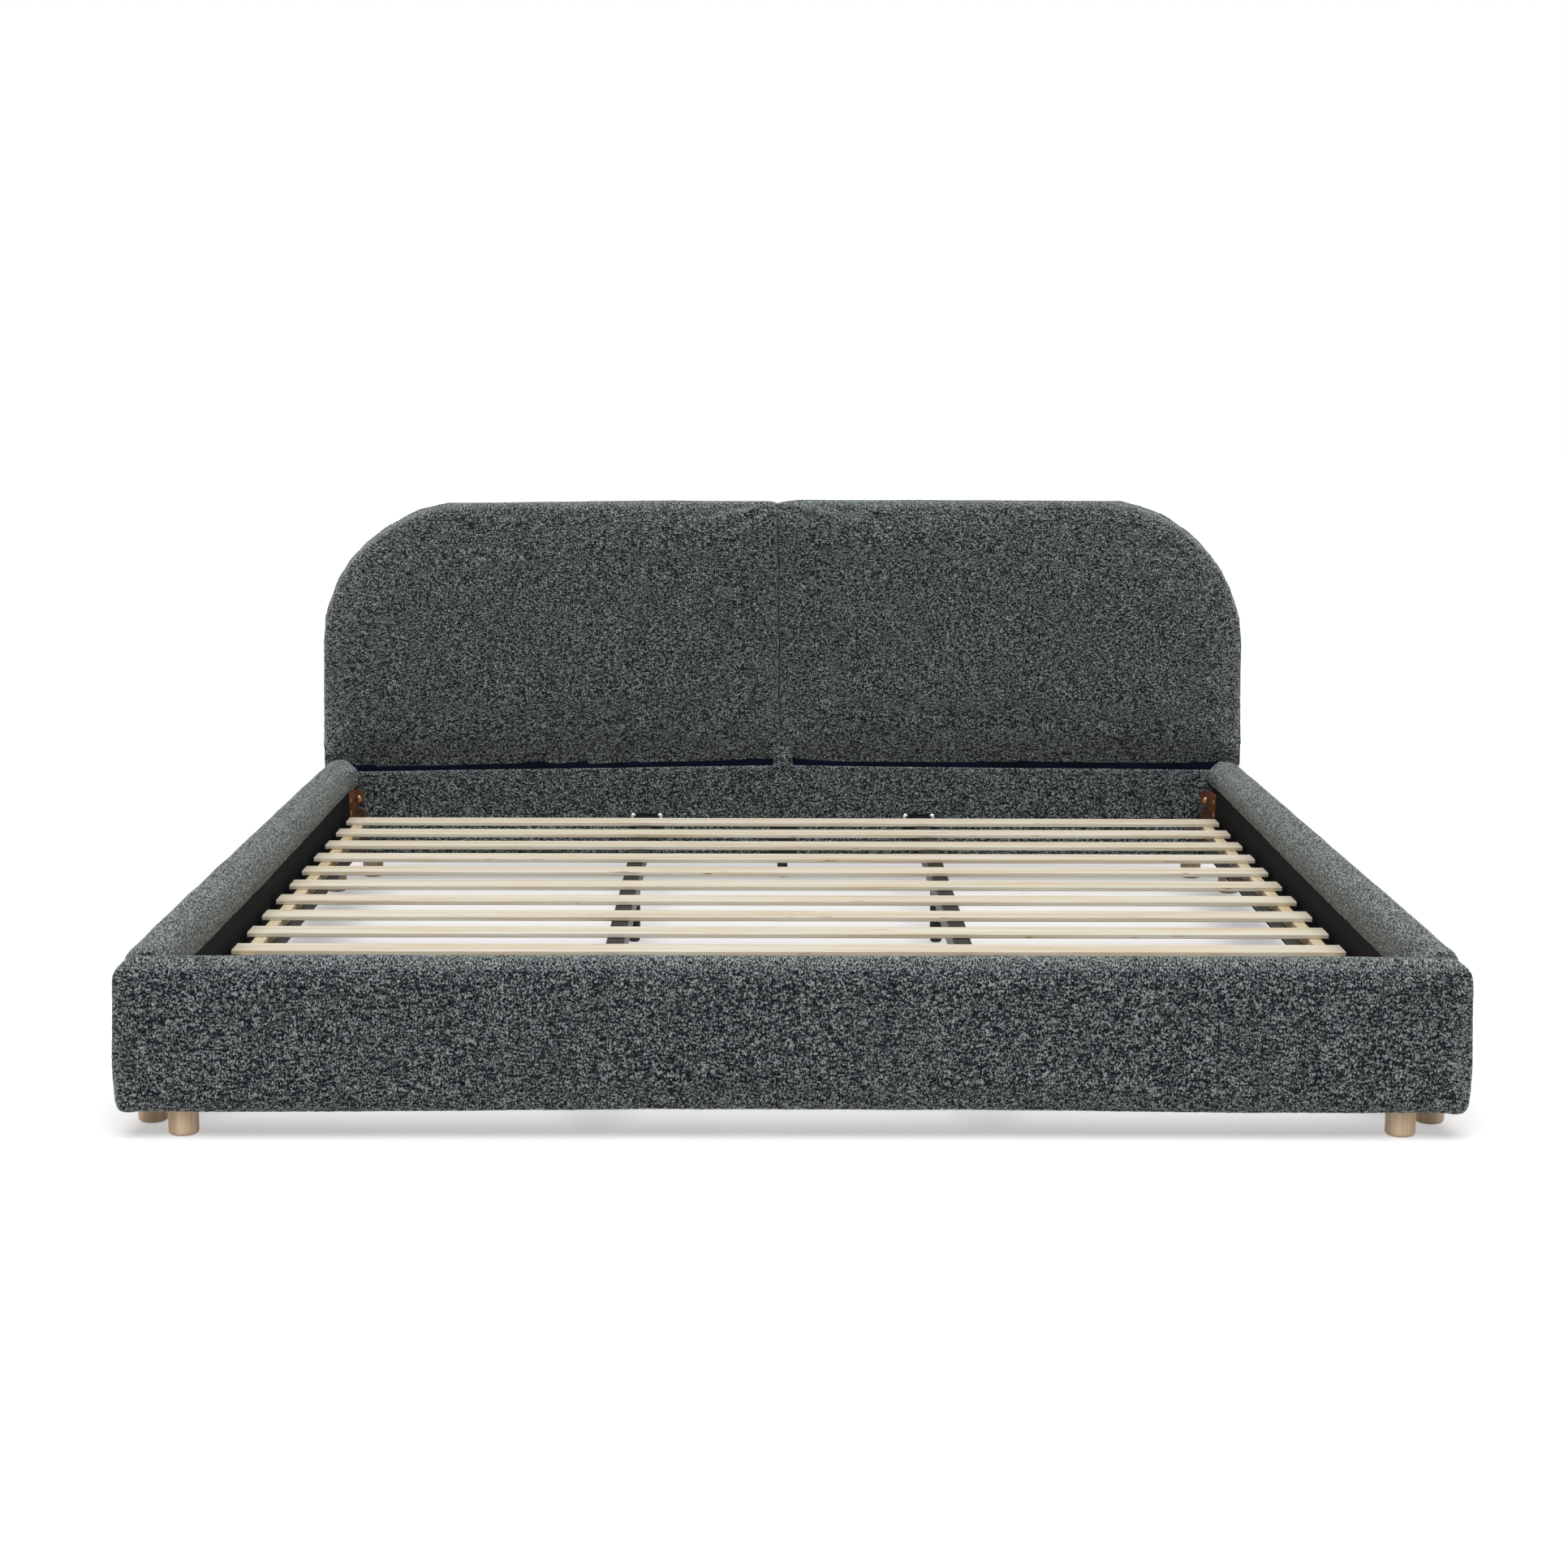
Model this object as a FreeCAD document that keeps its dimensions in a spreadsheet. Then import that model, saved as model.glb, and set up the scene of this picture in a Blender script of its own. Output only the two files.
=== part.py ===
import FreeCAD, Part
import math
import os
import re
import Sketcher

# Upholstered platform bed for a king mattress, in millimetres.
# X runs across the bed, Y from the footboard to the headboard, Z up from the floor.
# The origin is on the floor, in the middle of the bed's overall box.

Vector = FreeCAD.Vector
Rotation = FreeCAD.Rotation

# Driving sizes, each written once.
SIZES = {
    # mattress that the bed is made for
    "mattress_width": 1930,
    "mattress_length": 2030,
    "mattress_gap": 10,
    # beech feet
    "foot_height": 48,
    "foot_diameter": 47,
    "foot_edge_round": 6,
    # padded side rails and footboard
    "side_height": 235,
    "outer_pad": 30,
    "core_thickness": 30,
    "lining_thickness": 2,
    "roll_overhang": 13,
    "top_pad": 16,
    "cover_thickness": 2,
    "flap_depth": 59,
    "top_round": 30,
    "roll_round": 26,
    "roll_tuck": 3.3,
    "bottom_round": 18,
    "face_crown": 4,
    "end_round": 10,
    "end_pad": 16,
    "footboard_foot_inset": 104,
    "footboard_foot_setback": 47,
    "rail_foot_setback": 41,
    "rail_front_foot_from_recess": 46,
    "rail_back_foot_from_recess": 111,
    # headboard
    "headboard_height": 875,
    "headboard_depth": 100,
    "pad_proud": 18,
    "pad_crown": 6,
    "pad_edge_depth": 38,
    "pad_edge_width": 60,
    "pad_crown_width": 180,
    "pad_corner_radius": 340,
    "pad_seam_width": 45,
    "pad_notch_run": 38,
    "pad_notch_drop": 8,
    "pad_seat_clearance": 0.5,
    "pad_bottom_rise": 9,
    "pad_bottom_fall": 17,
    "tape_height": 13,
    "tape_thickness": 3,
    "tab_width": 43,
    "tab_thickness": 15,
    "rim_width": 12,
    "panel_thickness": 15,
    "back_lining_thickness": 1.5,
    "lower_pad_thickness": 12.5,
    "lower_cover_round": 6,
    "timber_clearance": 2,
    "post_width": 96,
    "middle_rail_overlap": 40,
    "middle_rail_height": 77,
    "lower_rail_height": 117,
    "joining_plate_width": 62,
    "joining_plate_bottom": 62,
    "joining_plate_height": 78,
    "joining_plate_thickness": 2.5,
    "headboard_foot_inset": 99,
    "headboard_foot_from_back": 28,
    "centre_foot_diameter": 24,
    "centre_foot_edge_round": 4,
    # slats and their side supports
    "slat_end_margin": 125,
    "slat_width": 61,
    "slat_thickness": 9,
    "slat_edge_round": 2,
    "slat_end_gap": 11,
    "batten_width": 22,
    "batten_height": 20,
    "batten_setback": 25,
    "ledger_top": 136,
    "ledger_thickness": 3,
    "ledger_shelf": 72,
    "ledger_drop": 40,
    "ledger_clearance": 15,
    # centre beams and hangers
    "beam_offset": 312,
    "beam_width": 32,
    "beam_depth": 40,
    "beam_wall": 1.8,
    "beam_end_clearance": 1,
    "hanger_plate_width": 78,
    "hanger_plate_above": 4,
    "hanger_plate_below": 14,
    "hanger_thickness": 2.5,
    "hanger_reach": 50,
    "hanger_wall_height": 30,
    "hanger_clearance": 0.5,
    "hanger_screw_spacing": 61.5,
    "hanger_screw_drop": 6,
    # legs under the beams
    "leg_from_middle": 375,
    "leg_diameter": 26,
    "leg_wall": 1.5,
    "plug_flange": 3,
    "plug_depth": 20,
    "plug_clearance": 0.2,
    "glide_diameter": 24,
    "glide_height": 10,
    "glide_chamfer": 3,
    "glide_gap": 3,
    "stem_diameter": 8,
    "stem_length": 32,
    "stem_clearance": 0.3,
    # corner brackets and fixings
    "bracket_thickness": 3,
    "bracket_flange": 28,
    "bracket_rail_flange": 45,
    "bracket_height": 110,
    "bracket_drop": 69,
    "bracket_round": 5,
    "notch_height": 15,
    "notch_depth": 17,
    "notch_drop": 31,
    "bolt_drop": 21,
    "low_bolt_drop": 89,
    "rail_bolt_drop": 50,
    "bolt_diameter": 8,
    "bolt_head_diameter": 16,
    "bolt_head_height": 4.5,
    "screw_diameter": 6,
    "screw_head_diameter": 13,
    "screw_head_height": 3.5,
    "hole_clearance": 0.3,
    "ledger_screw_drop": 24,
    "ledger_screw_inset": 80,
    # how far a cut runs past the face it opens
    "overrun": 5,
}

SLAT_COUNT = 13
LEDGER_SCREW_COUNT = 6

# Sizes worked out from the driving ones.
DERIVED = {
    "recess_half": "mattress_width / 2 + mattress_gap",
    "recess_length": "mattress_length + 2 * mattress_gap",
    "side_thickness": "outer_pad + core_thickness + lining_thickness + roll_overhang",
    "half_width": "recess_half + side_thickness",
    "total_length": "side_thickness + recess_length + headboard_depth",
    "front_y": "-total_length / 2",
    "back_y": "total_length / 2",
    "recess_front_y": "front_y + side_thickness",
    "recess_back_y": "back_y - headboard_depth",
    "recess_middle_y": "(recess_front_y + recess_back_y) / 2",
    "lining_x": "recess_half + roll_overhang",
    "core_x": "lining_x + lining_thickness",
    "side_top": "foot_height + side_height",
    "flap_bottom": "side_top - flap_depth",
    "core_bottom": "foot_height + cover_thickness",
    "core_top": "side_top - top_pad",
    "footboard_lining_y": "recess_front_y - roll_overhang",
    "footboard_core_y": "footboard_lining_y - lining_thickness - core_thickness",
    "timber_y": "recess_back_y + lower_pad_thickness",
    "panel_y": "back_y - back_lining_thickness - panel_thickness",
    "timber_depth": "panel_y - timber_y",
    "panel_half": "half_width - rim_width",
    "timber_half": "panel_half - timber_clearance",
    "pad_depth": "headboard_depth + pad_proud",
    "pad_bottom_centre": "side_top + pad_bottom_rise",
    "pad_bottom_side": "pad_bottom_centre - pad_bottom_fall",
    "middle_rail_bottom": "pad_bottom_side - middle_rail_overlap",
    "cover_top_centre": "pad_bottom_centre - tape_height",
    "cover_top_side": "pad_bottom_side - tape_height",
    "tab_fall": "pad_bottom_fall * tab_width / 2 / half_width",
    "slat_bottom": "ledger_top + batten_height",
    "slat_length": "2 * (lining_x - slat_end_gap)",
    "slat_run": "recess_length - 2 * slat_end_margin",
    "bracket_top": "side_top - bracket_drop",
    "ledger_front_y": "recess_front_y + bracket_rail_flange + ledger_clearance",
    "ledger_length": "recess_back_y - bracket_rail_flange - ledger_clearance - ledger_front_y",
    "ledger_screw_run": "ledger_length - 2 * ledger_screw_inset",
    "beam_bottom": "slat_bottom - beam_depth",
    "beam_front_y": "footboard_lining_y + hanger_thickness + beam_end_clearance",
    "beam_length": "recess_back_y - hanger_thickness - beam_end_clearance - beam_front_y",
    "leg_bottom": "glide_height + glide_gap + plug_flange",
    "hanger_top": "slat_bottom + hanger_plate_above",
}

# Shares of the padded edge's width at each section of a headboard pad,
# on its outer sides and beside the centre seam, which is drawn in less deeply.
PAD_EDGE_SHARES = (0, 0.06, 0.2, 0.5, 1)
PAD_SEAM_SHARES = (0, 0, 0.02, 0.3, 1)
# How close two numbers are to count as equal when edges are picked.
SAME = 1e-6

doc = FreeCAD.newDocument("platform_bed")
sheet = doc.addObject("Spreadsheet::Sheet", "Sizes")
for row, (alias, content) in enumerate({**SIZES, **DERIVED}.items(), start=1):
    sheet.set(f"A{row}", alias)
    sheet.set(f"B{row}", f"={content}" if alias in DERIVED else str(content))
    sheet.setAlias(f"B{row}", alias)
doc.recompute()

nodes = []


# Helpers that bind sizes to the sheet

def bound(formula):
    """The formula with each size written as a cell of the sheet."""
    return re.sub(r"[a-z]\w*", r"Sizes.\g<0>", str(formula))


def value(formula):
    """The formula's number at the sheet's present sizes."""
    return float(sheet.evalExpression(bound(formula)))


def bind(item, **formulas):
    """Binds properties of an object to formulas."""
    for name, formula in formulas.items():
        item.setExpression(name, bound(formula))


def place(item, x="0", y="0", z="0", rotation=None):
    """Places an object at x, y, z, all bound to the sheet."""
    if rotation is not None:
        item.Placement = FreeCAD.Placement(Vector(0, 0, 0), rotation)
    for axis, formula in (("x", x), ("y", y), ("z", z)):
        item.setExpression(f"Placement.Base.{axis}", bound(formula))
    return item


def node(item, label):
    """Lists an object as a sub-part under its label."""
    item.Label = label
    nodes.append(item)
    return item


# Helpers that draw

def new_body(name):
    return doc.addObject("PartDesign::Body", name)


def origin_plane(body, role):
    return next(f for f in body.Origin.OriginFeatures if f.Role == role)


def outline(body, name, role, corners, arcs=None, offset="0"):
    """A closed sketch through the corners, anticlockwise; arcs maps a side to its outward radius."""
    arcs = arcs or {}
    sketch = body.newObject("Sketcher::SketchObject", name)
    sketch.AttachmentSupport = (origin_plane(body, role), "")
    sketch.MapMode = "FlatFace"
    sketch.setExpression("AttachmentOffset.Base.z", bound(offset))
    points = [Vector(value(x), value(y), 0) for x, y in corners]
    for side, start in enumerate(points):
        end = points[(side + 1) % len(points)]
        if side in arcs:
            radius = value(arcs[side])
            chord = end - start
            rise = radius - math.sqrt(radius**2 - chord.Length**2 / 4)
            outward = Vector(chord.y, -chord.x, 0).normalize()
            middle = (start + end) / 2 + outward * rise
            sketch.addGeometry(Part.Arc(start, middle, end))
        else:
            sketch.addGeometry(Part.LineSegment(start, end))
    for side, (x, y) in enumerate(corners):
        following = (side + 1) % len(points)
        sketch.addConstraint(Sketcher.Constraint("Coincident", side, 2, following, 1))
        for kind, tag, formula in (("DistanceX", "x", x), ("DistanceY", "y", y)):
            limit = Sketcher.Constraint(kind, -1, 1, side, 1, value(formula))
            sketch.renameConstraint(sketch.addConstraint(limit), f"{tag}{side}")
            sketch.setExpression(f"Constraints.{tag}{side}", bound(formula))
    for side, formula in arcs.items():
        limit = Sketcher.Constraint("Radius", side, value(formula))
        sketch.renameConstraint(sketch.addConstraint(limit), f"r{side}")
        sketch.setExpression(f"Constraints.r{side}", bound(formula))
    return sketch


def rectangle(x0, y0, x1, y1):
    return [(x0, y0), (x1, y0), (x1, y1), (x0, y1)]


def crown_radius(chord, crown):
    """Radius of the arc that rises by crown over the chord."""
    return f"(({chord})^2 / (8 * ({crown})) + ({crown}) / 2)"


def circles(body, name, role, centres, diameter):
    """A sketch of equal circles for a row of holes."""
    sketch = body.newObject("Sketcher::SketchObject", name)
    sketch.AttachmentSupport = (origin_plane(body, role), "")
    sketch.MapMode = "FlatFace"
    for item, (x, y) in enumerate(centres):
        centre = Vector(value(x), value(y), 0)
        sketch.addGeometry(Part.Circle(centre, Vector(0, 0, 1), value(diameter) / 2))
        limits = (
            ("d", Sketcher.Constraint("Diameter", item, value(diameter)), diameter),
            ("x", Sketcher.Constraint("DistanceX", -1, 1, item, 3, value(x)), x),
            ("y", Sketcher.Constraint("DistanceY", -1, 1, item, 3, value(y)), y),
        )
        for tag, limit, formula in limits:
            sketch.renameConstraint(sketch.addConstraint(limit), f"{tag}{item}")
            sketch.setExpression(f"Constraints.{tag}{item}", bound(formula))
    return sketch


# Helpers that make solids

def pad(body, sketch, length, reverse=False, symmetric=False):
    feature = body.newObject("PartDesign::Pad", f"{sketch.Name}_pad")
    feature.Profile = sketch
    feature.Reversed = reverse
    if symmetric:
        feature.SideType = "Symmetric"
    bind(feature, Length=length)
    doc.recompute()
    return feature


def pocket(body, sketch, length, reverse=False):
    """Cuts the sketch out and stops the build if the cut met nothing."""
    before = body.Shape.Volume
    feature = body.newObject("PartDesign::Pocket", f"{sketch.Name}_pocket")
    feature.Profile = sketch
    feature.Reversed = reverse
    bind(feature, Length=length)
    doc.recompute()
    if not body.Shape.Volume < before:
        raise RuntimeError(f"{feature.Name} cuts nothing")
    return feature


def pierce(body, sketch):
    """Cuts the sketch right through, both ways."""
    before = body.Shape.Volume
    feature = body.newObject("PartDesign::Pocket", f"{sketch.Name}_pocket")
    feature.Profile = sketch
    feature.Type = "ThroughAll"
    feature.SideType = "Symmetric"
    doc.recompute()
    if not body.Shape.Volume < before:
        raise RuntimeError(f"{feature.Name} cuts nothing")
    return feature


def soften(body, radius, chosen):
    """Rounds the edges of the body's last feature that the test picks."""
    base = body.Tip
    names = [f"Edge{i}" for i, edge in enumerate(base.Shape.Edges, start=1) if chosen(edge)]
    feature = body.newObject("PartDesign::Fillet", f"{body.Name}_round")
    feature.Base = (base, names)
    bind(feature, Radius=radius)
    doc.recompute()
    return feature


def runs_along(edge, axis):
    """True for a straight edge along an axis of the body."""
    ends = edge.Vertexes
    if len(ends) != 2 or edge.Curve.TypeId != "Part::GeomLine":
        return False
    run = ends[1].Point - ends[0].Point
    return abs(abs(run.normalize().dot(axis)) - 1) < SAME


def extruded(name, role, corners, length, arcs=None, **how):
    body = new_body(name)
    pad(body, outline(body, f"{name}_outline", role, corners, arcs), length, **how)
    return body


def revolved(name, corners, arcs=None):
    """A body turned about Z from half its section, drawn on the XZ plane."""
    body = new_body(name)
    sketch = outline(body, f"{name}_section", "XZ_Plane", corners, arcs)
    feature = body.newObject("PartDesign::Revolution", f"{name}_turn")
    feature.Profile = sketch
    feature.ReferenceAxis = (sketch, ["V_Axis"])
    doc.recompute()
    return body


def box(label, x, y, z, length, width, height):
    item = doc.addObject("Part::Box", label)
    bind(item, Length=length, Width=width, Height=height)
    return node(place(item, x, y, z), label)


def mirrored(source, label):
    """The same piece for the other side of the bed."""
    item = doc.addObject("Part::Mirroring", label)
    item.Source = source
    item.Normal = Vector(1, 0, 0)
    return node(item, label)


def copies(label, source, spots):
    """One node of equal pieces; each spot is x, y, z and, if it is turned, its rotation."""
    links = []
    for spot in spots:
        link = doc.addObject("App::Link", f"{label}_copy")
        link.LinkedObject = source
        links.append(place(link, *spot))
    group = doc.addObject("Part::Compound", label)
    group.Links = links
    return node(group, label)


def mirrored_spots(spots):
    """The spots, and their mirror images on the left."""
    return spots + [(f"-({spot[0]})", *spot[1:]) for spot in spots]


# Side rails: board core, padded cover with a rolled top, lining inside

def rail_cover():
    face_x = "half_width - face_crown"
    corners = [
        ("core_x", "foot_height"),
        (f"{face_x} - bottom_round", "foot_height"),
        (face_x, "foot_height + bottom_round"),
        (face_x, "side_top - top_round"),
        (f"{face_x} - top_round", "side_top"),
        ("recess_half + roll_round", "side_top"),
        ("recess_half", "side_top - roll_round"),
        ("lining_x", "flap_bottom"),
        ("core_x", "flap_bottom"),
        ("core_x", "core_top"),
        ("core_x + core_thickness", "core_top"),
        ("core_x + core_thickness", "core_bottom"),
        ("core_x", "core_bottom"),
    ]
    face = "side_height - bottom_round - top_round"
    tuck = "flap_depth - roll_round"
    arcs = {
        1: "bottom_round",
        2: crown_radius(face, "face_crown"),
        3: "top_round",
        5: "roll_round",
        6: crown_radius(tuck, "roll_tuck"),
    }
    cover = extruded("rail_cover", "XZ_Plane", corners, "recess_length", arcs)
    return node(place(cover, y="recess_back_y"), "right_rail_cover")


def side_rails():
    cover = rail_cover()
    core_height = "core_top - core_bottom"
    core = box("right_rail_core", "core_x", "recess_front_y", "core_bottom",
               "core_thickness", "recess_length", core_height)
    lining = box("right_rail_lining", "lining_x", "recess_front_y", "foot_height",
                 "lining_thickness", "recess_length", "flap_bottom - foot_height")
    angle = [
        ("lining_x", "ledger_top - ledger_drop"),
        ("lining_x", "ledger_top"),
        ("lining_x - ledger_shelf", "ledger_top"),
        ("lining_x - ledger_shelf", "ledger_top - ledger_thickness"),
        ("lining_x - ledger_thickness", "ledger_top - ledger_thickness"),
        ("lining_x - ledger_thickness", "ledger_top - ledger_drop"),
    ]
    ledger = extruded("ledger", "XZ_Plane", angle, "ledger_length", reverse=True)
    node(place(ledger, y="ledger_front_y"), "right_ledger")
    batten = box("right_batten", "lining_x - batten_setback - batten_width", "ledger_front_y",
                 "ledger_top", "batten_width", "ledger_length", "batten_height")
    for piece in (cover, core, lining, ledger, batten):
        mirrored(piece, piece.Label.replace("right_", "left_"))


# Footboard: one padded board across the whole width

def footboard():
    face_y = "front_y + face_crown"
    corners = [
        (f"{face_y} + bottom_round", "foot_height"),
        ("recess_front_y - end_round", "foot_height"),
        ("recess_front_y", "foot_height + end_round"),
        ("recess_front_y", "side_top - roll_round"),
        ("recess_front_y - roll_round", "side_top"),
        (f"{face_y} + top_round", "side_top"),
        (face_y, "side_top - top_round"),
        (face_y, "foot_height + bottom_round"),
    ]
    face = "side_height - bottom_round - top_round"
    arcs = {
        1: "end_round",
        3: "roll_round",
        5: "top_round",
        6: crown_radius(face, "face_crown"),
        7: "bottom_round",
    }
    form = extruded("footboard_form", "YZ_Plane", corners, "2 * half_width", arcs, symmetric=True)
    reach = value("half_width")

    def at_the_ends(edge):
        return all(abs(abs(v.X) - reach) < SAME for v in edge.Vertexes)

    soften(form, "end_round", at_the_ends)
    niche = outline(form, "lining_niche", "XZ_Plane",
                    rectangle("-lining_x", "foot_height - overrun", "lining_x", "flap_bottom"),
                    offset="-recess_front_y - overrun")
    pocket(form, niche, "overrun + roll_overhang + lining_thickness", reverse=True)
    core_half = "half_width - end_pad"
    core = box("footboard_core", f"-({core_half})", "footboard_core_y", "core_bottom",
               f"2 * ({core_half})", "core_thickness", "core_top - core_bottom")
    cover = doc.addObject("Part::Cut", "footboard_cover")
    cover.Base = form
    cover.Tool = core
    node(cover, "footboard_cover")
    box("footboard_lining", "-lining_x", "footboard_lining_y - lining_thickness", "foot_height",
        "2 * lining_x", "lining_thickness", "flap_bottom - foot_height")


# Headboard: timber frame and arched panel behind two crowned pads and a lower cover

def arch(half, bottom, top, radius):
    """Corners and arcs of an upright board with two rounded top corners."""
    corners = [
        (f"-({half})", bottom),
        (half, bottom),
        (half, f"{top} - ({radius})"),
        (f"{half} - ({radius})", top),
        (f"-({half}) + ({radius})", top),
        (f"-({half})", f"{top} - ({radius})"),
    ]
    return corners, {2: radius, 4: radius}


def pad_section(inset, seam_inset):
    """The right pad's outline, drawn in by inset on its outer sides and by seam_inset at the seam."""
    corners = [
        (seam_inset, f"pad_bottom_centre + {inset}"),
        (f"half_width - {inset}", f"pad_bottom_side + {inset}"),
        (f"half_width - {inset}", "headboard_height - pad_corner_radius"),
        ("half_width - pad_corner_radius", f"headboard_height - {inset}"),
        (f"{seam_inset} + pad_notch_run", f"headboard_height - {inset}"),
        (seam_inset, f"headboard_height - {inset} - pad_notch_drop"),
    ]
    notch = "(pad_notch_run^2 + pad_notch_drop^2) / (2 * pad_notch_drop)"
    return corners, {2: f"pad_corner_radius - {inset}", 4: notch}


def headboard_pad():
    body = new_body("headboard_pad")
    stations = [("0", "0", "0")]
    for share, seam_share in zip(PAD_EDGE_SHARES, PAD_SEAM_SHARES):
        fall_share = 1 - math.sqrt(1 - (1 - share) ** 2)
        depth = f"pad_depth - pad_crown - pad_edge_depth * {fall_share:.4f}"
        stations.append((f"pad_edge_width * {share}", f"pad_seam_width * {seam_share}", depth))
    stations.append(("pad_crown_width", "pad_crown_width", "pad_depth"))
    sections = []
    for index, (inset, seam_inset, depth) in enumerate(stations):
        corners, arcs = pad_section(f"({inset})", f"({seam_inset})")
        name = f"pad_section_{index}"
        sections.append(outline(body, name, "XZ_Plane", corners, arcs, offset=depth))
    doc.recompute()
    loft = body.newObject("PartDesign::AdditiveLoft", "pad_crown_loft")
    loft.Profile = sections[0]
    loft.Sections = sections[1:]
    loft.Ruled = True
    doc.recompute()
    seat = "panel_half + pad_seat_clearance"
    radius = "pad_corner_radius - rim_width + pad_seat_clearance"
    top = "headboard_height - rim_width + pad_seat_clearance"
    seat_corners = [
        ("-overrun", "pad_bottom_side - overrun"),
        (seat, "pad_bottom_side - overrun"),
        (seat, f"{top} - ({radius})"),
        (f"{seat} - ({radius})", top),
        ("-overrun", top),
    ]
    panel_seat = outline(body, "panel_seat", "XZ_Plane", seat_corners, {2: radius}, "-overrun")
    pocket(body, panel_seat, "overrun + panel_thickness + back_lining_thickness", reverse=True)
    rail_top = "middle_rail_bottom + middle_rail_height + pad_seat_clearance"
    rail_corners = rectangle("-overrun", "pad_bottom_side - overrun", seat, rail_top)
    rail_seat = outline(body, "rail_seat", "XZ_Plane", rail_corners, offset="-overrun")
    pocket(body, rail_seat, "overrun + headboard_depth - lower_pad_thickness", reverse=True)
    node(place(body, y="back_y"), "headboard_right_pad")
    mirrored(body, "headboard_left_pad")


def headboard_cover():
    corners = [
        ("-half_width", "foot_height"),
        ("half_width", "foot_height"),
        ("half_width", "cover_top_side"),
        ("0", "cover_top_centre"),
        ("-half_width", "cover_top_side"),
    ]
    body = extruded("headboard_lower_cover", "XZ_Plane", corners, "headboard_depth")
    front = -value("headboard_depth")

    def front_sides(edge):
        return runs_along(edge, Vector(0, 0, 1)) and abs(edge.CenterOfMass.y - front) < SAME

    soften(body, "lower_cover_round", front_sides)
    hollow = rectangle("-panel_half", "foot_height - overrun", "panel_half", "pad_bottom_centre")
    sketch = outline(body, "cover_hollow", "XZ_Plane", hollow, offset="-overrun")
    pocket(body, sketch, "overrun + headboard_depth - lower_pad_thickness", reverse=True)
    node(place(body, y="back_y"), "headboard_lower_cover")


def headboard_frame():
    corners, arcs = arch("panel_half", "foot_height", "(headboard_height - rim_width)",
                         "pad_corner_radius - rim_width")
    panel = extruded("panel", "XZ_Plane", corners, "panel_thickness", arcs, reverse=True)
    node(place(panel, y="panel_y"), "headboard_panel")
    lining = extruded("back_lining", "XZ_Plane", corners, "back_lining_thickness", arcs)
    node(place(lining, y="back_y"), "headboard_back_lining")
    post_x = "timber_half - post_width"
    post = box("headboard_right_post", post_x, "timber_y", "foot_height",
               "post_width", "timber_depth", "middle_rail_bottom - foot_height")
    mirrored(post, "headboard_left_post")
    box("headboard_middle_rail", "-timber_half", "timber_y", "middle_rail_bottom",
        "2 * timber_half", "timber_depth", "middle_rail_height")
    box("headboard_lower_rail", f"-({post_x})", "timber_y", "foot_height",
        f"2 * ({post_x})", "timber_depth", "lower_rail_height")
    box("headboard_joining_plate", "-joining_plate_width / 2",
        "recess_back_y - joining_plate_thickness", "joining_plate_bottom",
        "joining_plate_width", "joining_plate_thickness", "joining_plate_height")


def headboard_trim():
    slope = "pad_bottom_fall / half_width"
    inner, outer = "tab_width / 2", "timber_half"
    strip = [
        (inner, f"cover_top_centre - {slope} * {inner}"),
        (outer, f"cover_top_centre - {slope} * {outer}"),
        (outer, f"pad_bottom_centre - {slope} * {outer}"),
        (inner, f"pad_bottom_centre - {slope} * {inner}"),
    ]
    tape = extruded("tape", "XZ_Plane", strip, "tape_thickness")
    place(tape, y="timber_y")
    other = doc.addObject("Part::Mirroring", "tape_mirror")
    other.Source = tape
    other.Normal = Vector(1, 0, 0)
    tapes = doc.addObject("Part::Compound", "headboard_tapes")
    tapes.Links = [tape, other]
    node(tapes, "headboard_tapes")
    corners = [
        (f"-{inner}", "cover_top_centre - tab_fall"),
        ("0", "cover_top_centre"),
        (inner, "cover_top_centre - tab_fall"),
        (inner, "pad_bottom_centre - tab_fall"),
        ("0", "pad_bottom_centre"),
        (f"-{inner}", "pad_bottom_centre - tab_fall"),
    ]
    tab = extruded("centre_tab", "XZ_Plane", corners, "tab_thickness")
    node(place(tab, y="timber_y"), "headboard_centre_tab")


# Feet

def turned_foot(name, diameter, edge_round):
    corners = [
        ("0", "0"),
        (f"{diameter} / 2 - {edge_round}", "0"),
        (f"{diameter} / 2", edge_round),
        (f"{diameter} / 2", "foot_height"),
        ("0", "foot_height"),
    ]
    return revolved(name, corners, {1: edge_round})


def feet():
    foot = turned_foot("beech_foot", "foot_diameter", "foot_edge_round")
    headboard_foot_y = "back_y - headboard_foot_from_back"
    front_spot = ("half_width - footboard_foot_inset", "front_y + footboard_foot_setback")
    copies("footboard_feet", foot, mirrored_spots([front_spot]))
    back_spot = ("half_width - headboard_foot_inset", headboard_foot_y)
    copies("headboard_feet", foot, mirrored_spots([back_spot]))
    rail_x = "half_width - rail_foot_setback"
    spots = [
        (rail_x, "recess_front_y + rail_front_foot_from_recess"),
        (rail_x, "recess_back_y - rail_back_foot_from_recess"),
    ]
    copies("right_rail_feet", foot, spots)
    copies("left_rail_feet", foot, mirrored_spots(spots)[len(spots):])
    centre = turned_foot("centre_foot", "centre_foot_diameter", "centre_foot_edge_round")
    node(place(centre, y=headboard_foot_y), "headboard_centre_foot")


# Slats

def slats():
    section = rectangle("-slat_width / 2", "0", "slat_width / 2", "slat_thickness")
    for index in range(SLAT_COUNT):
        label = f"slat_{index + 1:02d}"
        body = extruded(label, "YZ_Plane", section, "slat_length", symmetric=True)
        soften(body, "slat_edge_round", lambda edge: runs_along(edge, Vector(1, 0, 0)))
        run_share = index / (SLAT_COUNT - 1)
        y = f"recess_front_y + slat_end_margin + {run_share} * slat_run"
        place(body, y=y, z="slat_bottom")
        node(body, label)


# Centre beams, their hangers and their legs

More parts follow.
